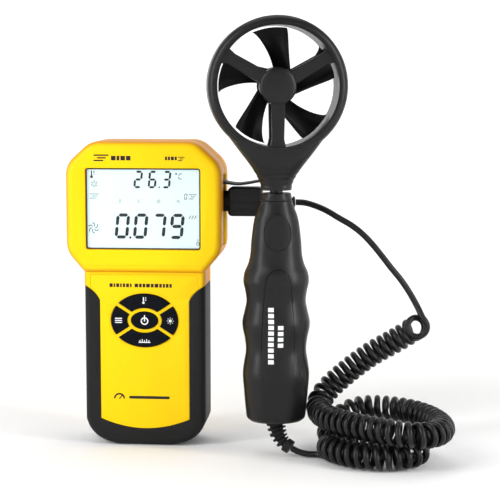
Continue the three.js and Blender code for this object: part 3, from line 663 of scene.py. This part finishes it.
def body_outline(shrink=0.0):
    """The lower body: upright sides that sweep in to a short flat base."""
    side = BODY.half - shrink
    foot = BODY.base_half - shrink * 0.35
    bend = BODY.curve_top + shrink * 0.4
    sweep = bezier((foot, shrink), (side - 3, shrink + 1.2), (side, bend), 14)
    return both_sides([(foot, shrink), *sweep, (side, 112)])


def panel_outline(shrink=0.0):
    """Where the yellow shell shows between the lips of the grip."""
    half, low = PANEL.half - shrink, PANEL.low + shrink
    flare = (PANEL.flare_half, PANEL.flare_top + shrink)
    knee = (half, PANEL.high + shrink * 0.6)
    right = [(half, low), knee, *bezier(knee, (half + 2, flare[1] - 3.5), flare, 10), (flare[0], 104)]
    base = bezier((-half, low), (0, low - PANEL.sag), (half, low), 24)[:-1]
    return base + both_sides(right)


def body_block(shrink, face, radius, steps=6):
    return prism(body_outline(shrink), -BODY.depth + face, BODY.depth - face, radius, steps=steps)


def key_outline(centre, grow=0.0):
    """One of the four keys round the power key: a sector of an oval ring."""
    web = PAD_WEB / 2 - grow
    spread = PAD_SPLIT if centre % 180 == 0 else 90 - PAD_SPLIT

    def arc(growth, half_x, half_z, sign):
        trim = degrees(web / ((half_x + half_z) / 2))
        reach = spread - trim
        steps = 16
        points = []
        for i in range(steps + 1):
            angle = radians(centre + sign * reach * (2 * i / steps - 1))
            points.append(((half_x + growth) * cos(angle), PAD.z + (half_z + growth) * sin(angle)))
        return points

    return arc(grow, PAD.outer_x, PAD.outer_z, 1) + arc(-grow, PAD.inner_x, PAD.inner_z, -1)


def key_holes():
    front, back = -BODY.depth - 1, -BODY.depth + 5
    holes = [prism(key_outline(centre, GAP), front, back) for centre in (0, 90, 180, 270)]
    holes.append(prism(ellipse(PAD.power_x + GAP, PAD.power_z + GAP, 0, PAD.z), front, back))
    return holes


def make_housings():
    block_of_head = prism(head_outline(), HEAD_FRONT, HEAD_BACK, 4.1, 3.0, steps=8)
    core = body_block(GRIP_SIDE + GAP, GRIP_FACE + GAP, 1.5)
    face = keep(body_block(0, 0, 2.5), prism(panel_outline(0.15), -FAR, FAR))
    whole = join(block_of_head, core, face)
    deep = BODY.depth - GRIP_FACE - GAP - 2.0
    cut(
        whole,
        prism(head_outline(2.5, 7), HEAD_FRONT + 3.5, HEAD_BACK - 3),
        prism(body_outline(GRIP_SIDE + GAP + 2.0), -deep, deep),
        block(30, 60, -SLOT.half, SLOT.half, SLOT.low, SLOT.high),
    )
    rear = copy_of(whole)
    front = cut(whole, block(y0=-0.15))
    ledge = WINDOW.ledge
    sight = prism(rectangle(WINDOW.half, WINDOW.low, WINDOW.high, 1.6), HEAD_FRONT - 1, HEAD_FRONT + 2.2)
    through = rectangle(WINDOW.half - ledge, WINDOW.low + ledge, WINDOW.high - ledge)
    cut(front, sight, prism(through, HEAD_FRONT - 1, HEAD_FRONT + 5), *key_holes())
    line = cut(prism(rectangle(29.1, 70, 92.7, 1.3), -BODY.depth - 1, 0.2 - BODY.depth),
               prism(rectangle(28.8, 69, 92.4, 1.0), -BODY.depth - 2, 0))
    cut(front, line)
    finish(front, "front_shell", "meter", "yellow_shell", ["front_housing"], edge=0.25)
    cut(rear, block(y1=0.15))
    for x, z in SCREWS:
        back = HEAD_BACK if z > HEAD.bottom else BODY.depth
        deep = back - 3.2
        join(rear, turned([(0, GAP), (3.6, GAP), (3.6, back - 1.8), (0, back - 1.8)], 24, "Y", (x, 0, z)))
        hole = [(0, -1), (1.6, -1), (1.6, deep), (2.9, deep), (2.9, back + 1), (0, back + 1)]
        cut(rear, turned(hole, 24, "Y", (x, 0, z)))
    seat = rectangle(DOOR.half + GAP, DOOR.low - GAP, DOOR.high + GAP, 2)
    bay = rectangle(15.2, DOOR.low + 1.6, DOOR.high - 1.8, 1)
    cut(rear, prism(seat, DOOR.front - GAP, 30), prism(bay, 5, 30))
    finish(rear, "rear_shell", "meter", "yellow_shell", ["rear_housing"], edge=0.25)


def make_grip():
    sleeve = keep(body_block(0, 0, 3.6, 8), block(z0=-1, z1=PANEL.flare_top + 1))
    cut(sleeve, body_block(GRIP_SIDE, GRIP_FACE, 1.5), prism(panel_outline(-0.15), -FAR, FAR))
    finish(sleeve, "grip_sleeve", "meter", "grip_rubber", ["grip_overmould"], edge=0.3)


make_housings()
make_grip()


# --- marks, digits and symbols
def bar(a, b, weight, pointed=True):
    """A stroke between two (x, z) points, with pointed or round ends."""
    a, b = Vector(a), Vector(b)
    along = (b - a).normalized() * weight / 2
    across = Vector((-along.y, along.x))
    if pointed:
        hexagon = a, a + along - across, b - along - across, b, b - along + across, a + along + across
        return [tuple(p) for p in hexagon]
    outline = []
    for end, start in ((b, -90), (a, 90)):
        for i in range(7):
            angle = radians(start + 30 * i)
            outline.append(tuple(end + along * cos(angle) + across * sin(angle)))
    return outline


def hoop(x, z, radius, weight, start=0, stop=360, sides=28):
    """An arc drawn as a row of short strokes that meet."""
    strokes = []
    for i in range(sides):
        a, b = (radians(start + (stop - start) * k / sides) for k in (i, i + 1))
        inner, outer = radius - weight / 2, radius + weight / 2
        strokes.append([
            (x + outer * cos(a), z + outer * sin(a)), (x + outer * cos(b), z + outer * sin(b)),
            (x + inner * cos(b), z + inner * sin(b)), (x + inner * cos(a), z + inner * sin(a)),
        ])
    return strokes


SEGMENTS = {
    "0": "abcdef", "1": "bc", "2": "abged", "3": "abgcd", "5": "afgcd", "6": "afgecd", "7": "abc",
    "9": "abfgcd", "C": "adef",
}


def digit(figure, x, z, width, height, weight, lean=0.1):
    """The lit segments of one figure, with its lower left corner at (x, z)."""
    inner, gap = weight / 2, weight * 0.16
    left, right, low, high, middle = inner, width - inner, inner, height - inner, height / 2
    ends = {
        "a": ((left, high), (right, high)), "d": ((left, low), (right, low)),
        "g": ((left, middle), (right, middle)),
        "b": ((right, middle), (right, high)), "c": ((right, low), (right, middle)),
        "f": ((left, middle), (left, high)), "e": ((left, low), (left, middle)),
    }
    strokes = []
    for name in SEGMENTS[figure]:
        a, b = (Vector(end) for end in ends[name])
        trim = (b - a).normalized() * gap
        stroke = bar(a + trim, b - trim, weight)
        strokes.append([(x + px + pz * lean, z + pz) for px, pz in stroke])
    return strokes


def fan_symbol(x, z, radius, weight, blades=6):
    strokes = []
    for i in range(blades):
        angle = 2 * pi * i / blades
        root, tip = angle, angle + 0.75
        a = (x + radius * 0.25 * cos(root), z + radius * 0.25 * sin(root))
        b = (x + radius * 0.7 * cos(angle + 0.2), z + radius * 0.7 * sin(angle + 0.2))
        c = (x + radius * cos(tip), z + radius * sin(tip))
        strokes += [bar(a, b, weight), bar(b, c, weight)]
    return strokes


def thermometer(x, z, size):
    left, right = x + size * 0.4, x + size * 0.8
    levels = [z + size * h for h in (0.15, 0.5, 0.85)]
    return [
        ellipse(size * 0.34, size * 0.34, x, z - size * 0.45, 20),
        bar((x, z - size * 0.3), (x, z + size * 0.9), size * 0.26, False),
        *(bar((left, level), (right, level), size * 0.14) for level in levels),
    ]


def blocks(widths, x, z, height, gap=0.5):
    """A row of short blocks in place of a printed word."""
    row = []
    for width in widths:
        row.append([(x, z), (x + width, z), (x + width, z + height), (x, z + height)])
        x += width + gap
    return row


def wind_lines(x, z, length, pitch, weight):
    rows = ((0, 1), (0.25, 0.8), (0, 0.62))
    return [
        bar((x + length * a, z - pitch * i), (x + length * b, z - pitch * i), weight, False)
        for i, (a, b) in enumerate(rows)
    ]


def printed(name, strokes, front, back, ink, slot="yellow_shell", body="meter"):
    """Flat strokes facing forwards, as one thin piece."""
    points, faces = [], []
    for outline in strokes:
        start, count = len(points), len(outline)
        points += [(x, front, z) for x, z in outline] + [(x, back, z) for x, z in outline]
        faces += [tuple(range(start, start + count)), tuple(range(start + count, start + 2 * count))]
        for k in range(count):
            n = (k + 1) % count
            faces.append((start + k, start + n, start + count + n, start + count + k))
    return finish(add_mesh(name, points, faces), name, body, slot, material=ink)


def make_display():
    outline = rectangle(WINDOW.half - GAP, WINDOW.low + GAP, WINDOW.high - GAP, 1.4)
    lens = prism(outline, HEAD_FRONT + 0.55, HEAD_FRONT + 1.25, 0.2, 0.0)
    finish(lens, "window_lens", "meter", "clear_lens", ["lcd_window"])
    film_front = HEAD_FRONT + 1.75
    film = prism(inset(outline, 0.1), film_front, HEAD_FRONT + 2.15)
    finish(film, "display_glass", "meter", "lcd_glass")
    rim = prism(inset(outline, 0.02), HEAD_FRONT + 1.3, film_front + 0.2)
    cut(rim, prism(inset(outline, 0.55), HEAD_FRONT, 0))
    finish(rim, "display_gasket", "meter", "black_plastic")
    big, small = {"width": 7.3, "height": 13.4, "weight": 1.7}, {"width": 4.4, "height": 9.2, "weight": 1.12}
    strokes = []
    for figure, x in zip("0079", (-15.5, -5.7, 4.0, 13.6)):
        strokes += digit(figure, x, 112.0, **big)
    for figure, x in zip("263", (-5.2, 2.4, 9.9)):
        strokes += digit(figure, x, 138.8, **small)
    strokes += [ellipse(0.62, 0.62, -7.0, 112.6, 14), ellipse(0.45, 0.45, 8.6, 139.3, 14)]
    strokes += hoop(17.7, 146.4, 0.42, 0.26) + digit("C", 18.8, 143.6, 2.0, 3.0, 0.34)
    strokes += digit("0", 21.7, 132.9, 1.6, 3.1, 0.36) + thermometer(-27.4, 145.7, 2.2)
    on_film = film_front - 0.06, film_front + 0.02
    printed("display_figures", strokes, *on_film, SEGMENT_BLACK, "lcd_glass")
    faint = fan_symbol(-26, 141, 1.9, 0.34) + wind_lines(-28.2, 135.6, 4.6, 1.1, 0.34)
    faint += wind_lines(24.4, 135.5, 3.8, 1.1, 0.36) + fan_symbol(-26.6, 117.6, 3.0, 0.5)
    for text, x in (("0", -13), ("5", -3), ("10", 6.6), ("15", 17)):
        for i, figure in enumerate(text):
            faint += digit(figure, x + 1.35 * i, 131, 1.0, 1.8, 0.22)
    faint += [bar((24.2 + 1.5 * i, 122.6), (25.3 + 1.5 * i, 124.6), 0.4) for i in range(3)]
    faint += hoop(29.0, 109.6, 0.75, 0.3) + [bar((29.0, 110.6), (29.0, 112.0), 0.3)]
    printed("display_symbols", faint, *on_film, SEGMENT_GREY, "lcd_glass")


KEYS = {0: "right", 90: "top", 180: "left", 270: "bottom"}


def key_symbol(name):
    """A white symbol for each key: a sun, a thermometer, a list, a scale and a power sign."""
    z = PAD.z
    if name == "right":
        rays = [radians(45 * i) for i in range(8)]
        ends = [[(13.9 + r * cos(a), z + r * sin(a)) for r in (1.2, 1.9)] for a in rays]
        return [ellipse(0.8, 0.8, 13.9, z, 20), *(bar(*pair, 0.36) for pair in ends)]
    if name == "top":
        return thermometer(-0.4, z + 10.6, 2.0)
    if name == "left":
        return [bar((-15.6, z + h), (-12.2, z + h), 0.5, False) for h in (-1.1, 0, 1.1)]
    if name == "bottom":
        ticks = [(-2.4 + 1.2 * i, z - 10.4 + 0.5 * (i % 2)) for i in range(5)]
        scale = [bar((x, z - 11.6), (x, top), 0.4) for x, top in ticks]
        return [bar((-3, z - 11.7), (3, z - 11.7), 0.45, False), *scale]
    return hoop(0.1, z - 0.2, 1.75, 0.62) + [bar((0.1, z - 0.2), (0.1, z + 2.7), 0.6, False)]


def make_keys():
    for centre, name in KEYS.items():
        key = prism(key_outline(centre), KEY_FRONT, KEY_BACK, 0.35, 0.0, steps=3)
        finish(key, f"key_{name}", f"key_{name}", "key_plastic", [f"button_{name}"])
    cap = prism(ellipse(PAD.power_x, PAD.power_z, 0, PAD.z, 64), KEY_FRONT, -11.3, 0.45, 0.0, steps=4)
    join(cap, prism(ellipse(PAD.power_x + 0.9, PAD.power_z + 0.9, 0, PAD.z, 64), -11.45, KEY_BACK))
    finish(cap, "key_power_cap", "key_power", "key_plastic", ["button_power"])
    for name in (*KEYS.values(), "power"):
        ink = key_symbol(name)
        on_key = KEY_FRONT - 0.03, KEY_FRONT + 0.05
        printed(f"symbol_{name}", ink, *on_key, PRINT_WHITE, "white_plastic", f"key_{name}")


def make_face_marks():
    """Plain bars and dots where a maker's print would be."""
    on_head, on_body = HEAD_FRONT - 0.03, -BODY.depth - 0.03
    strokes = wind_lines(-25.6, 156.2, 7.4, 1.4, 0.75) + blocks((2.4, 1.5, 2.4, 2.4), -16.6, 153.5, 2.4, 0.55)
    strokes += blocks((1.1, 1.1, 1.6, 1.1), 12.0, 153.7, 1.9, 0.45) + wind_lines(19.0, 155.3, 3.2, 0.9, 0.45)
    printed("head_marks", strokes, on_head, on_head + 0.08, PRINT_BLACK)
    strokes = blocks((1.7, 0.9, 1.6, 0.9, 1.3, 1.6, 0.9), -18.7, 85.8, 2.0)
    strokes += blocks((1.9, 1.4, 1.4, 2.0, 1.5, 2.0, 1.4, 1.2, 1.4, 1.2), -5.2, 85.8, 2.0)
    strokes += hoop(-13.9, 25.4, 2.6, 0.9, 0, 180, 20) + [bar((-13.9, 25.4), (-12.3, 27.2), 0.6, False)]
    strokes += [bar((-8.0, 26.2), (12.6, 26.2), 1.5, False)]
    printed("body_marks", strokes, on_body, on_body + 0.08, PRINT_BLACK)


def phillips_screw(x, z, profile):
    """A turned screw with a cross recess in its head, which faces backwards."""
    screw = turned(profile, 32, "Y", (x, 0, z))
    top = profile[-1][1]
    for half_x, half_z in ((0.32, 1.5), (1.5, 0.32)):
        cut(screw, block(x - half_x, x + half_x, top - 0.9, top + 1, z - half_z, z + half_z))
    return screw


def make_back():
    door = prism(rectangle(DOOR.half, DOOR.low, DOOR.high, 2), DOOR.front, BODY.depth - 0.1, 0.0, 0.4)
    cut(door, *(block(-8, 8, BODY.depth - 0.6, 20, 56 + i * 2.4, 57.2 + i * 2.4) for i in range(4)))
    cut(door, prism([(-4, 53.5), (0, 50), (4, 53.5)], BODY.depth - 0.5, 20))
    finish(door, "door_cover", "battery_cover", "yellow_shell", ["battery_door"], edge=0.12)
    for i, (x, z) in enumerate(SCREWS):
        back = HEAD_BACK if z > HEAD.bottom else BODY.depth
        low = back - 3.2 + GAP
        shank = [(0, -9.6), (1.3, -9), (1.3, low)]
        head = [(2.5, low), (2.5, low + 1.2), (1.9, low + 1.65), (0, low + 1.8)]
        screw = phillips_screw(x, z, shank + head)
        finish(screw, f"screw_{i + 1}", "meter", "steel", [f"case_screw_{i + 1}"])


SOCKET_Z, JACK_Z = 131, 114.5


def in_socket(profile, sides=48, z=SOCKET_Z):
    """A solid turned about the line that the plug slides along."""
    return turned(profile, sides, "X", (0, 0, z))


def make_side_ports():
    plate = block(37, 38.7, -9, 9, SLOT.low - 0.7, SLOT.high + 0.7)
    cut(plate, in_socket(disc(5.7, 30, 45)), in_socket(disc(3.1, 30, 45), 40, JACK_Z))
    finish(plate, "side_plate", "meter", "black_plastic", ["port_panel"], edge=0.2)
    socket = [(0, 25), (5.4, 25), (5.4, 38.4), (5.2, 38.6), (4.5, 38.6), (4.3, 38.4), (4.3, 28.5), (0, 28.5)]
    finish(in_socket(socket), "socket_barrel", "meter", "black_plastic", ["sensor_socket"])
    jack = [(0, 27), (2.8, 27), (2.8, 38.4), (1.8, 38.4), (1.8, 29), (0, 29)]
    finish(in_socket(jack, 40, JACK_Z), "jack_barrel", "meter", "brass", ["power_jack"])
    route = [(39.7, 142), (42.6, 141.1), (48.6, 140.3), (54, 140.8), (60, 141.9), (68, 143.1), (77.5, 144)]
    line = spline([(x, 0, z) for x, z in route], 1.0)
    sections = []
    width = SLOT.half - 0.5
    for i, at in enumerate(line):
        thick = 0.65 + 0.5 * (1 - smoothstep(i / 4))
        reach = width * (1 - 0.25 * smoothstep((i - len(line) + 6) / 6))
        sections.append([
            (at.x, y * reach, at.z + side * thick * (1 - 0.35 * abs(y) ** 6))
            for side, row in ((1, range(-8, 9)), (-1, range(8, -9, -1))) for y in (k / 8 for k in row)
        ])
    flap = loft(sections)
    finish(flap, "flap", "port_flap", "grip_rubber", ["port_cover"], sharp=50)


def make_plug():
    shape = rounded([(43.7, 123.2, 2.6), (62, 123.2, 2.6), (62, 138.7, 2.6), (43.7, 138.7, 2.6)], 6)
    shell = prism(shape, -6, 6, 1.6, steps=6)
    grooves = [block(45.5, 60.5, -7, -5.65, z, z + 0.5) for z in (125.6, 136)]
    cut(shell, *grooves, block(43, 63, -8, -5.8, 130.85, 131.1))
    join(shell, in_socket(disc(5.6, 39.2, 46)))
    cut(shell, in_socket(disc(4.2, 30, 50)))
    soften(shell, 0.15)
    sleeve = in_socket(ring(3.2, 3.9, 29.5, 49.5))
    insert = in_socket(disc(2.8, 31.5, 49.5), 36)
    profile = [(0, 62.3), (5, 62.3), (4.7, 71.3)]
    for i in range(4):
        x, r = 72 + i * 1.8, 4.7 - 0.5 * i
        profile += [(r - 0.7, x), (r - 0.7, x + 0.6), (r, x + 0.8), (r - 0.1, x + 1.6)]
    profile += [(2.3, 79.4), (0, 79.4)]
    boot = in_socket(profile, 40, 130.6)
    return [
        finish(shell, "plug_body", "plug", "black_plastic", ["plug_shell"]),
        finish(sleeve, "plug_tube", "plug", "steel", ["plug_sleeve"]),
        finish(insert, "plug_core", "plug", "black_plastic", ["plug_insert"]),
        finish(boot, "plug_relief", "plug", "black_plastic", ["plug_boot"], sharp=40),
    ]


make_display()
make_keys()
make_face_marks()
make_back()
make_side_ports()
make_plug()


# --- probe
PROBE_PLACE = Matrix.Translation(Vector((71.3, -30, 0)) * MM) @ Matrix.Rotation(radians(8.5), 4, "Z")
RING = Sizes(z=192.5, outer=35.6, inner=30.8, depth=13)
HANDLE = Sizes(bottom=19, top=133.8, flat=0.84, wall=2.3, hollow_top=118)
STEM_R, HUB_R = 3.3, 9.7
GRIP_PROFILE = [
    (13, 19), (15, 20.2), (15.7, 24), (16.7, 35), (17.3, 44), (16.6, 50), (15.7, 56), (16.2, 62), (17.4, 68),
    (17.5, 71.5), (16.4, 76.5), (15.4, 82), (16, 87), (17, 92), (16.5, 96.5), (14.6, 101), (13.5, 105.5),
    (12.9, 113), (11.2, 125), (9.4, 130), (8, 133.8),
]


def on_probe(obj, name, nodes, body="probe", slot="probe_plastic", sharp=30, material=None):
    """Puts a piece that was made round the probe's own axis in its place, and finishes it."""
    obj.data.transform(PROBE_PLACE)
    return finish(obj, name, body, slot, nodes, sharp, material)


def round_ring(profile, sides=72):
    """A solid turned about the axis of the ring."""
    return turned(profile, sides, "Y", (0, 0, RING.z))


def handle_form(grow, low, high):
    """The handle grown or shrunk by `grow`: turned with its finger waves, then flattened front to back."""
    line = spline([(r, 0, z) for r, z in GRIP_PROFILE], 0.9)
    rows = [(p.x + grow, p.z) for p in line if low + 0.2 < p.z < high - 0.2]
    profile = [(0, low), (rows[0][0] - 0.3, low), *rows, (rows[-1][0], high), (0, high)]
    form = turned(profile, 72)
    form.data.transform(Matrix.Diagonal((1, HANDLE.flat, 1, 1)))
    return form


def thumb_outline(grow=0.0):
    """An egg, wider at its foot."""
    return [(x * (1 - 0.012 * (z - 118.2)), z) for x, z in ellipse(6.8 + grow, 9.2 + grow, 0, 118.2, 56)]


def inlay_outline(grow=0.0):
    """A tall arch with a sagging foot."""
    g = grow
    right = [(7.4 + g, 40 - g)]
    right += bezier(right[-1], (9.6 + g, 62), (6.4 + g, 92), 14)
    right += bezier(right[-1], (5.6 + g, 99 + g), (0, 99.4 + g), 10)
    left = [(-x, z) for x, z in reversed(right[:-1])]
    return right + left + bezier(left[-1], (0, 35 - g), right[0], 12)[:-1]


def inlaid(shape, proud, deep=1.0):
    return cut(keep(handle_form(proud, 22, 132), prism(shape, -30, -5)), handle_form(-deep, 22.2, 131.8))


def make_handle():
    shell = cut(handle_form(0, HANDLE.bottom, HANDLE.top),
                handle_form(-HANDLE.wall, HANDLE.bottom + 2.5, HANDLE.hollow_top))
    for z in (32, 104):
        join(shell, keep(turned(disc(3, -13, 13), 32, "Y", (0, 0, z)), handle_form(-1, 20, 133)))
    for z in (32, 104):
        well = [(0, -9), (1.5, -9), (1.5, 8.4), (2.7, 8.4), (2.7, 20), (0, 20)]
        cut(shell, turned(well, 32, "Y", (0, 0, z)))
    cut(shell, turned(disc(STEM_R + GAP, 110, 140), 40), turned(disc(5, 10, HANDLE.bottom + 4), 40))
    rear = cut(copy_of(shell), block(y1=0.12))
    front = cut(shell, block(y0=-0.12))
    for shape in (thumb_outline(0.25), inlay_outline(0.22)):
        cut(front, cut(prism(shape, -30, -4), handle_form(-1.3, 22, 132)))
    for half, name in ((front, "front"), (rear, "rear")):
        soften(half, 0.12, 1, 40)
        on_probe(half, f"grip_{name}", [f"handle_{name}"], sharp=35)
    pad = inlaid(thumb_outline(), 0.35)
    soften(pad, 0.3)
    on_probe(pad, "thumb_rest", ["thumb_pad"], slot="grip_rubber")
    panel = inlaid([(x + copysign(0.2 * smoothstep((62 - z) / 20), x), z - 0.2 * smoothstep((44 - z) / 4))
                    for x, z in inlay_outline()], 0.0)
    soften(panel, 0.2, 1)
    on_probe(panel, "arched_panel", ["grip_inlay"])
    strokes = [block(-5.1, -2.3, -30, -5, 50.8 + 3 * i, 52.9 + 3 * i) for i in range(10)]
    strokes += [block(-0.2, 2.6, -30, -5, 59.4 + 3.1 * i, 61.5 + 3.1 * i) for i in range(4)]
    ink = cut(keep(handle_form(0.05, 22, 132), join(*strokes)), handle_form(-0.05, 21, 133))
    on_probe(ink, "panel_marks", (), slot="white_plastic", material=PRINT_WHITE)
    for i, z in enumerate((32, 104)):
        profile = [(0, -8.4), (1.2, -8.4), (1.2, 8.7), (2.4, 8.7), (2.4, 9.7), (2.0, 10), (0, 10)]
        screw = phillips_screw(0, z, profile)
        on_probe(screw, f"grip_screw_{i + 1}", [f"handle_screw_{i + 1}"], slot="steel")
    hole = STEM_R + GAP
    collar = turned([(hole, 134.1), (8.1, 134.1), (7.6, 137.8), (hole, 137.8), (hole, 134.1)], 64)
    soften(collar, 0.35)
    on_probe(collar, "neck_collar", ["handle_collar"])


BOOT_ROUTE = [
    (71.3, -30, 23.6), (71.3, -30, 20), (71.4, -30.1, 16.4), (72.6, -30.7, 11.8), (75.2, -31.9, 7.6),
    (79.2, -33.2, 4.9),
]


def make_boot():
    """The finned strain relief that bends from the handle's foot down to the lead."""
    step = 0.4
    line = spline(BOOT_ROUTE, step)
    heading = directions(line)
    length = step * (len(line) - 1)
    fin_pitch, first, last = 2.5, 5.0, 20.8
    sections = []
    for i, at in enumerate(line):
        here = i * step
        outer = 4.9 - 1.5 * smoothstep((here - first) / (last - first))
        if here < 1.6:
            radius = 6.2
        elif here < first or here > length - 3.2:
            radius = outer + (0.35 if here > length - 3.2 else 0)
        else:
            wave = ((here - first) / fin_pitch) % 1
            radius = outer + 0.2 if wave > 0.45 else outer - 1.3
        across = Vector((0, 1, 0)).cross(heading[i]).normalized()
        up = heading[i].cross(across)
        sections.append(around(at, across, up, radius, 32))
    boot = loft(sections)
    finish(boot, "cord_relief", "probe", "grip_rubber", ["strain_relief"], sharp=40)


def superellipse(half_x, half_y, power, z, sides=64):
    points = []
    for k in range(sides):
        c, s = cos(2 * pi * k / sides), sin(2 * pi * k / sides)
        x, y = (copysign(abs(part) ** (2 / power), part) for part in (c, s))
        points.append((half_x * x, half_y * y, z))
    return points


def funnel():
    """The neck that widens from a ribbed round foot to the flat flanks under the ring."""
    flank = [(7.8, 139.3), (8.2, 142.4), (10.1, 146.8), (13.8, 152.5), (20, 160.7), (32, 176.9)]
    sections = []
    for p in spline([(x, 0, z) for x, z in flank], 0.35):
        rise = smoothstep((p.z - 141) / 17)
        rib = 0.18 if p.z < 151 and (p.z - 140.4) % 2.6 < 0.9 else 0
        depth = 7 + (RING.depth - 7) * rise + rib
        sections.append(superellipse(p.x + rib, depth, 2 + 3.4 * rise, p.z))
    return loft(sections)


def ring_body():
    """The ring: an outer wall that rounds over at both rims, and a thin liner lip inside a groove."""
    deep, outer, curve = RING.depth, RING.outer, 4.0
    back = [(outer - curve * (1 - cos(a)), deep - curve * (1 - sin(a)))
            for a in (pi / 2 * i / 8 for i in range(9))]
    groove = [(31.9, -0.15), (31.8, -0.9), (31.45, -0.9), (31.35, 0.15), (30.95, 0.2)]
    inside = [(r, deep + y) for r, y in groove]
    half = back + inside
    profile = [(r, -y) for r, y in reversed(half)] + half
    middle = [(RING.inner, deep + 0.05)]
    profile = profile + middle + [(r, -y) for r, y in reversed(middle)]
    return round_ring([*profile, profile[0]], 128)


STRUTS, STRUT_WIDTH = (30, 150, 270), 6.2


def head_half(side, whole):
    half = cut(whole, block(y0=-0.12) if side < 0 else block(y1=0.12))
    near = -11.6 if side < 0 else 8
    for angle in STRUTS:
        wide = STRUT_WIDTH / 2
        shape = [(6, -wide * 1.15), (RING.inner - 4, -wide), (RING.inner + 1.2, -wide - 1.2),
                 (RING.inner + 1.2, wide + 1.2), (RING.inner - 4, wide), (6, wide * 1.15)]
        strut = prism(shape, near, near + 3.6, 0.5, steps=3)
        strut.data.transform(Matrix.Rotation(-radians(angle), 4, "Y"))
        strut.data.transform(Matrix.Translation((0, 0, RING.z * MM)))
        join(half, strut)
    steps = 14
    wall, crown = (11.2, 2.3) if side < 0 else (8.6, 4.0)
    dome = [((HUB_R - 0.3) * sin(pi / 2 * i / steps), wall + crown * cos(pi / 2 * i / steps))
            for i in range(steps + 1)] + [(HUB_R, 7)]
    dome = [(r, side * y) for r, y in dome] + [(0, side * 7)]
    join(half, round_ring(dome))
    pocket = [(0, side * 9.5), (3.3, side * 9.5), (3.3, side * 6), (0, side * 6)]
    return cut(half, round_ring(pocket, 36))


def make_head():
    neck = cut(funnel(), round_ring(disc(RING.inner + 0.6, -FAR, FAR), 128))
    whole = cut(join(ring_body(), neck), turned(disc(STEM_R + GAP, 130, 152.3), 40))
    twin = copy_of(whole)
    front = head_half(-1, whole)
    rear = cut(head_half(1, twin), block(-2.6, 2.6, 6, 8.8, RING.z - 9, RING.z - 4.6))
    on_probe(front, "vane_guard_front", ["head_front"], "head", sharp=38)
    on_probe(rear, "vane_guard_rear", ["head_rear"], "head", sharp=38)
    small = [
        ("front_bearing", ring(1.3, 3, -9.2, -7.2), "head", "bearing_front"),
        ("rear_bearing", ring(1.3, 3, 7.2, 9.2), "head", "bearing_rear"),
        ("rotor_shaft", disc(1, -9.1, 9.1), "impeller", "impeller_shaft"),
        ("ring_magnet", ring(1.3, 6.6, 4.3, 5.9), "impeller", "rotor_magnet"),
    ]
    for name, profile, body, node in small:
        on_probe(round_ring(profile, 40), name, [node], body, "steel")
    stem = [(0, 113.6), (5.4, 113.6), (5.4, 117.6), (STEM_R, 117.6), (STEM_R, 152), (0, 152)]
    on_probe(turned(stem, 48), "neck_stem", ["swivel_stem"], "head")


def blade(turn):
    """A twisted blade: straight along its leading edge, swept and curled along its trailing edge."""
    tip, across, rows, thick = 29.7, 14, 16, 0.9
    trailing = [(-1.0, 6.5), *bezier((-1.0, 6.5), (-3.0, 19.5), (-12.6, 26.9), rows)]
    leading = [(7.0 - 2.2 * v / rows, 6.5 + 22.4 * v / rows) for v in range(rows + 1)]
    sections = []
    for v in range(rows + 1):
        rise = v / rows
        sheet = []
        for u in range(across + 1):
            part = u / across
            spot = Vector(trailing[v]).lerp(Vector(leading[v]), part)
            spot *= 1 + (tip / spot.length - 1) * rise**5
            middle = (trailing[v][0] + leading[v][0]) / 2
            pitch = radians(46 - 20 * rise)
            depth = -(spot.x - middle) * tan(pitch)
            depth -= 3.0 * max(0.0, 0.3 - part) / 0.3 * rise**2.5
            depth += 1.1 * max(0.0, part - 0.86) / 0.14
            sheet.append((spot.x, max(-6.0, min(6.0, depth)), spot.y))
        front = [(x, y - thick / 2, z) for x, y, z in sheet]
        sections.append(front + [(x, y + thick / 2, z) for x, y, z in reversed(sheet)])
    made = loft(sections)
    made.data.transform(Matrix.Rotation(-radians(turn), 4, "Y"))
    made.data.transform(Matrix.Translation((0, 0, RING.z * MM)))
    return made


def make_impeller():
    hub = round_ring([(0, -6), (7.4, -6), (8.3, -5.6), (8.6, -5), (8.6, 4), (0, 4)])
    join(hub, *(blade(72 * i) for i in range(5)))
    cut(hub, round_ring(disc(1.3, -20, 20), 32))
    on_probe(hub, "vane_rotor", ["impeller_rotor"], "impeller", "rotor_plastic", 40)


make_handle()
make_boot()
make_head()
make_impeller()
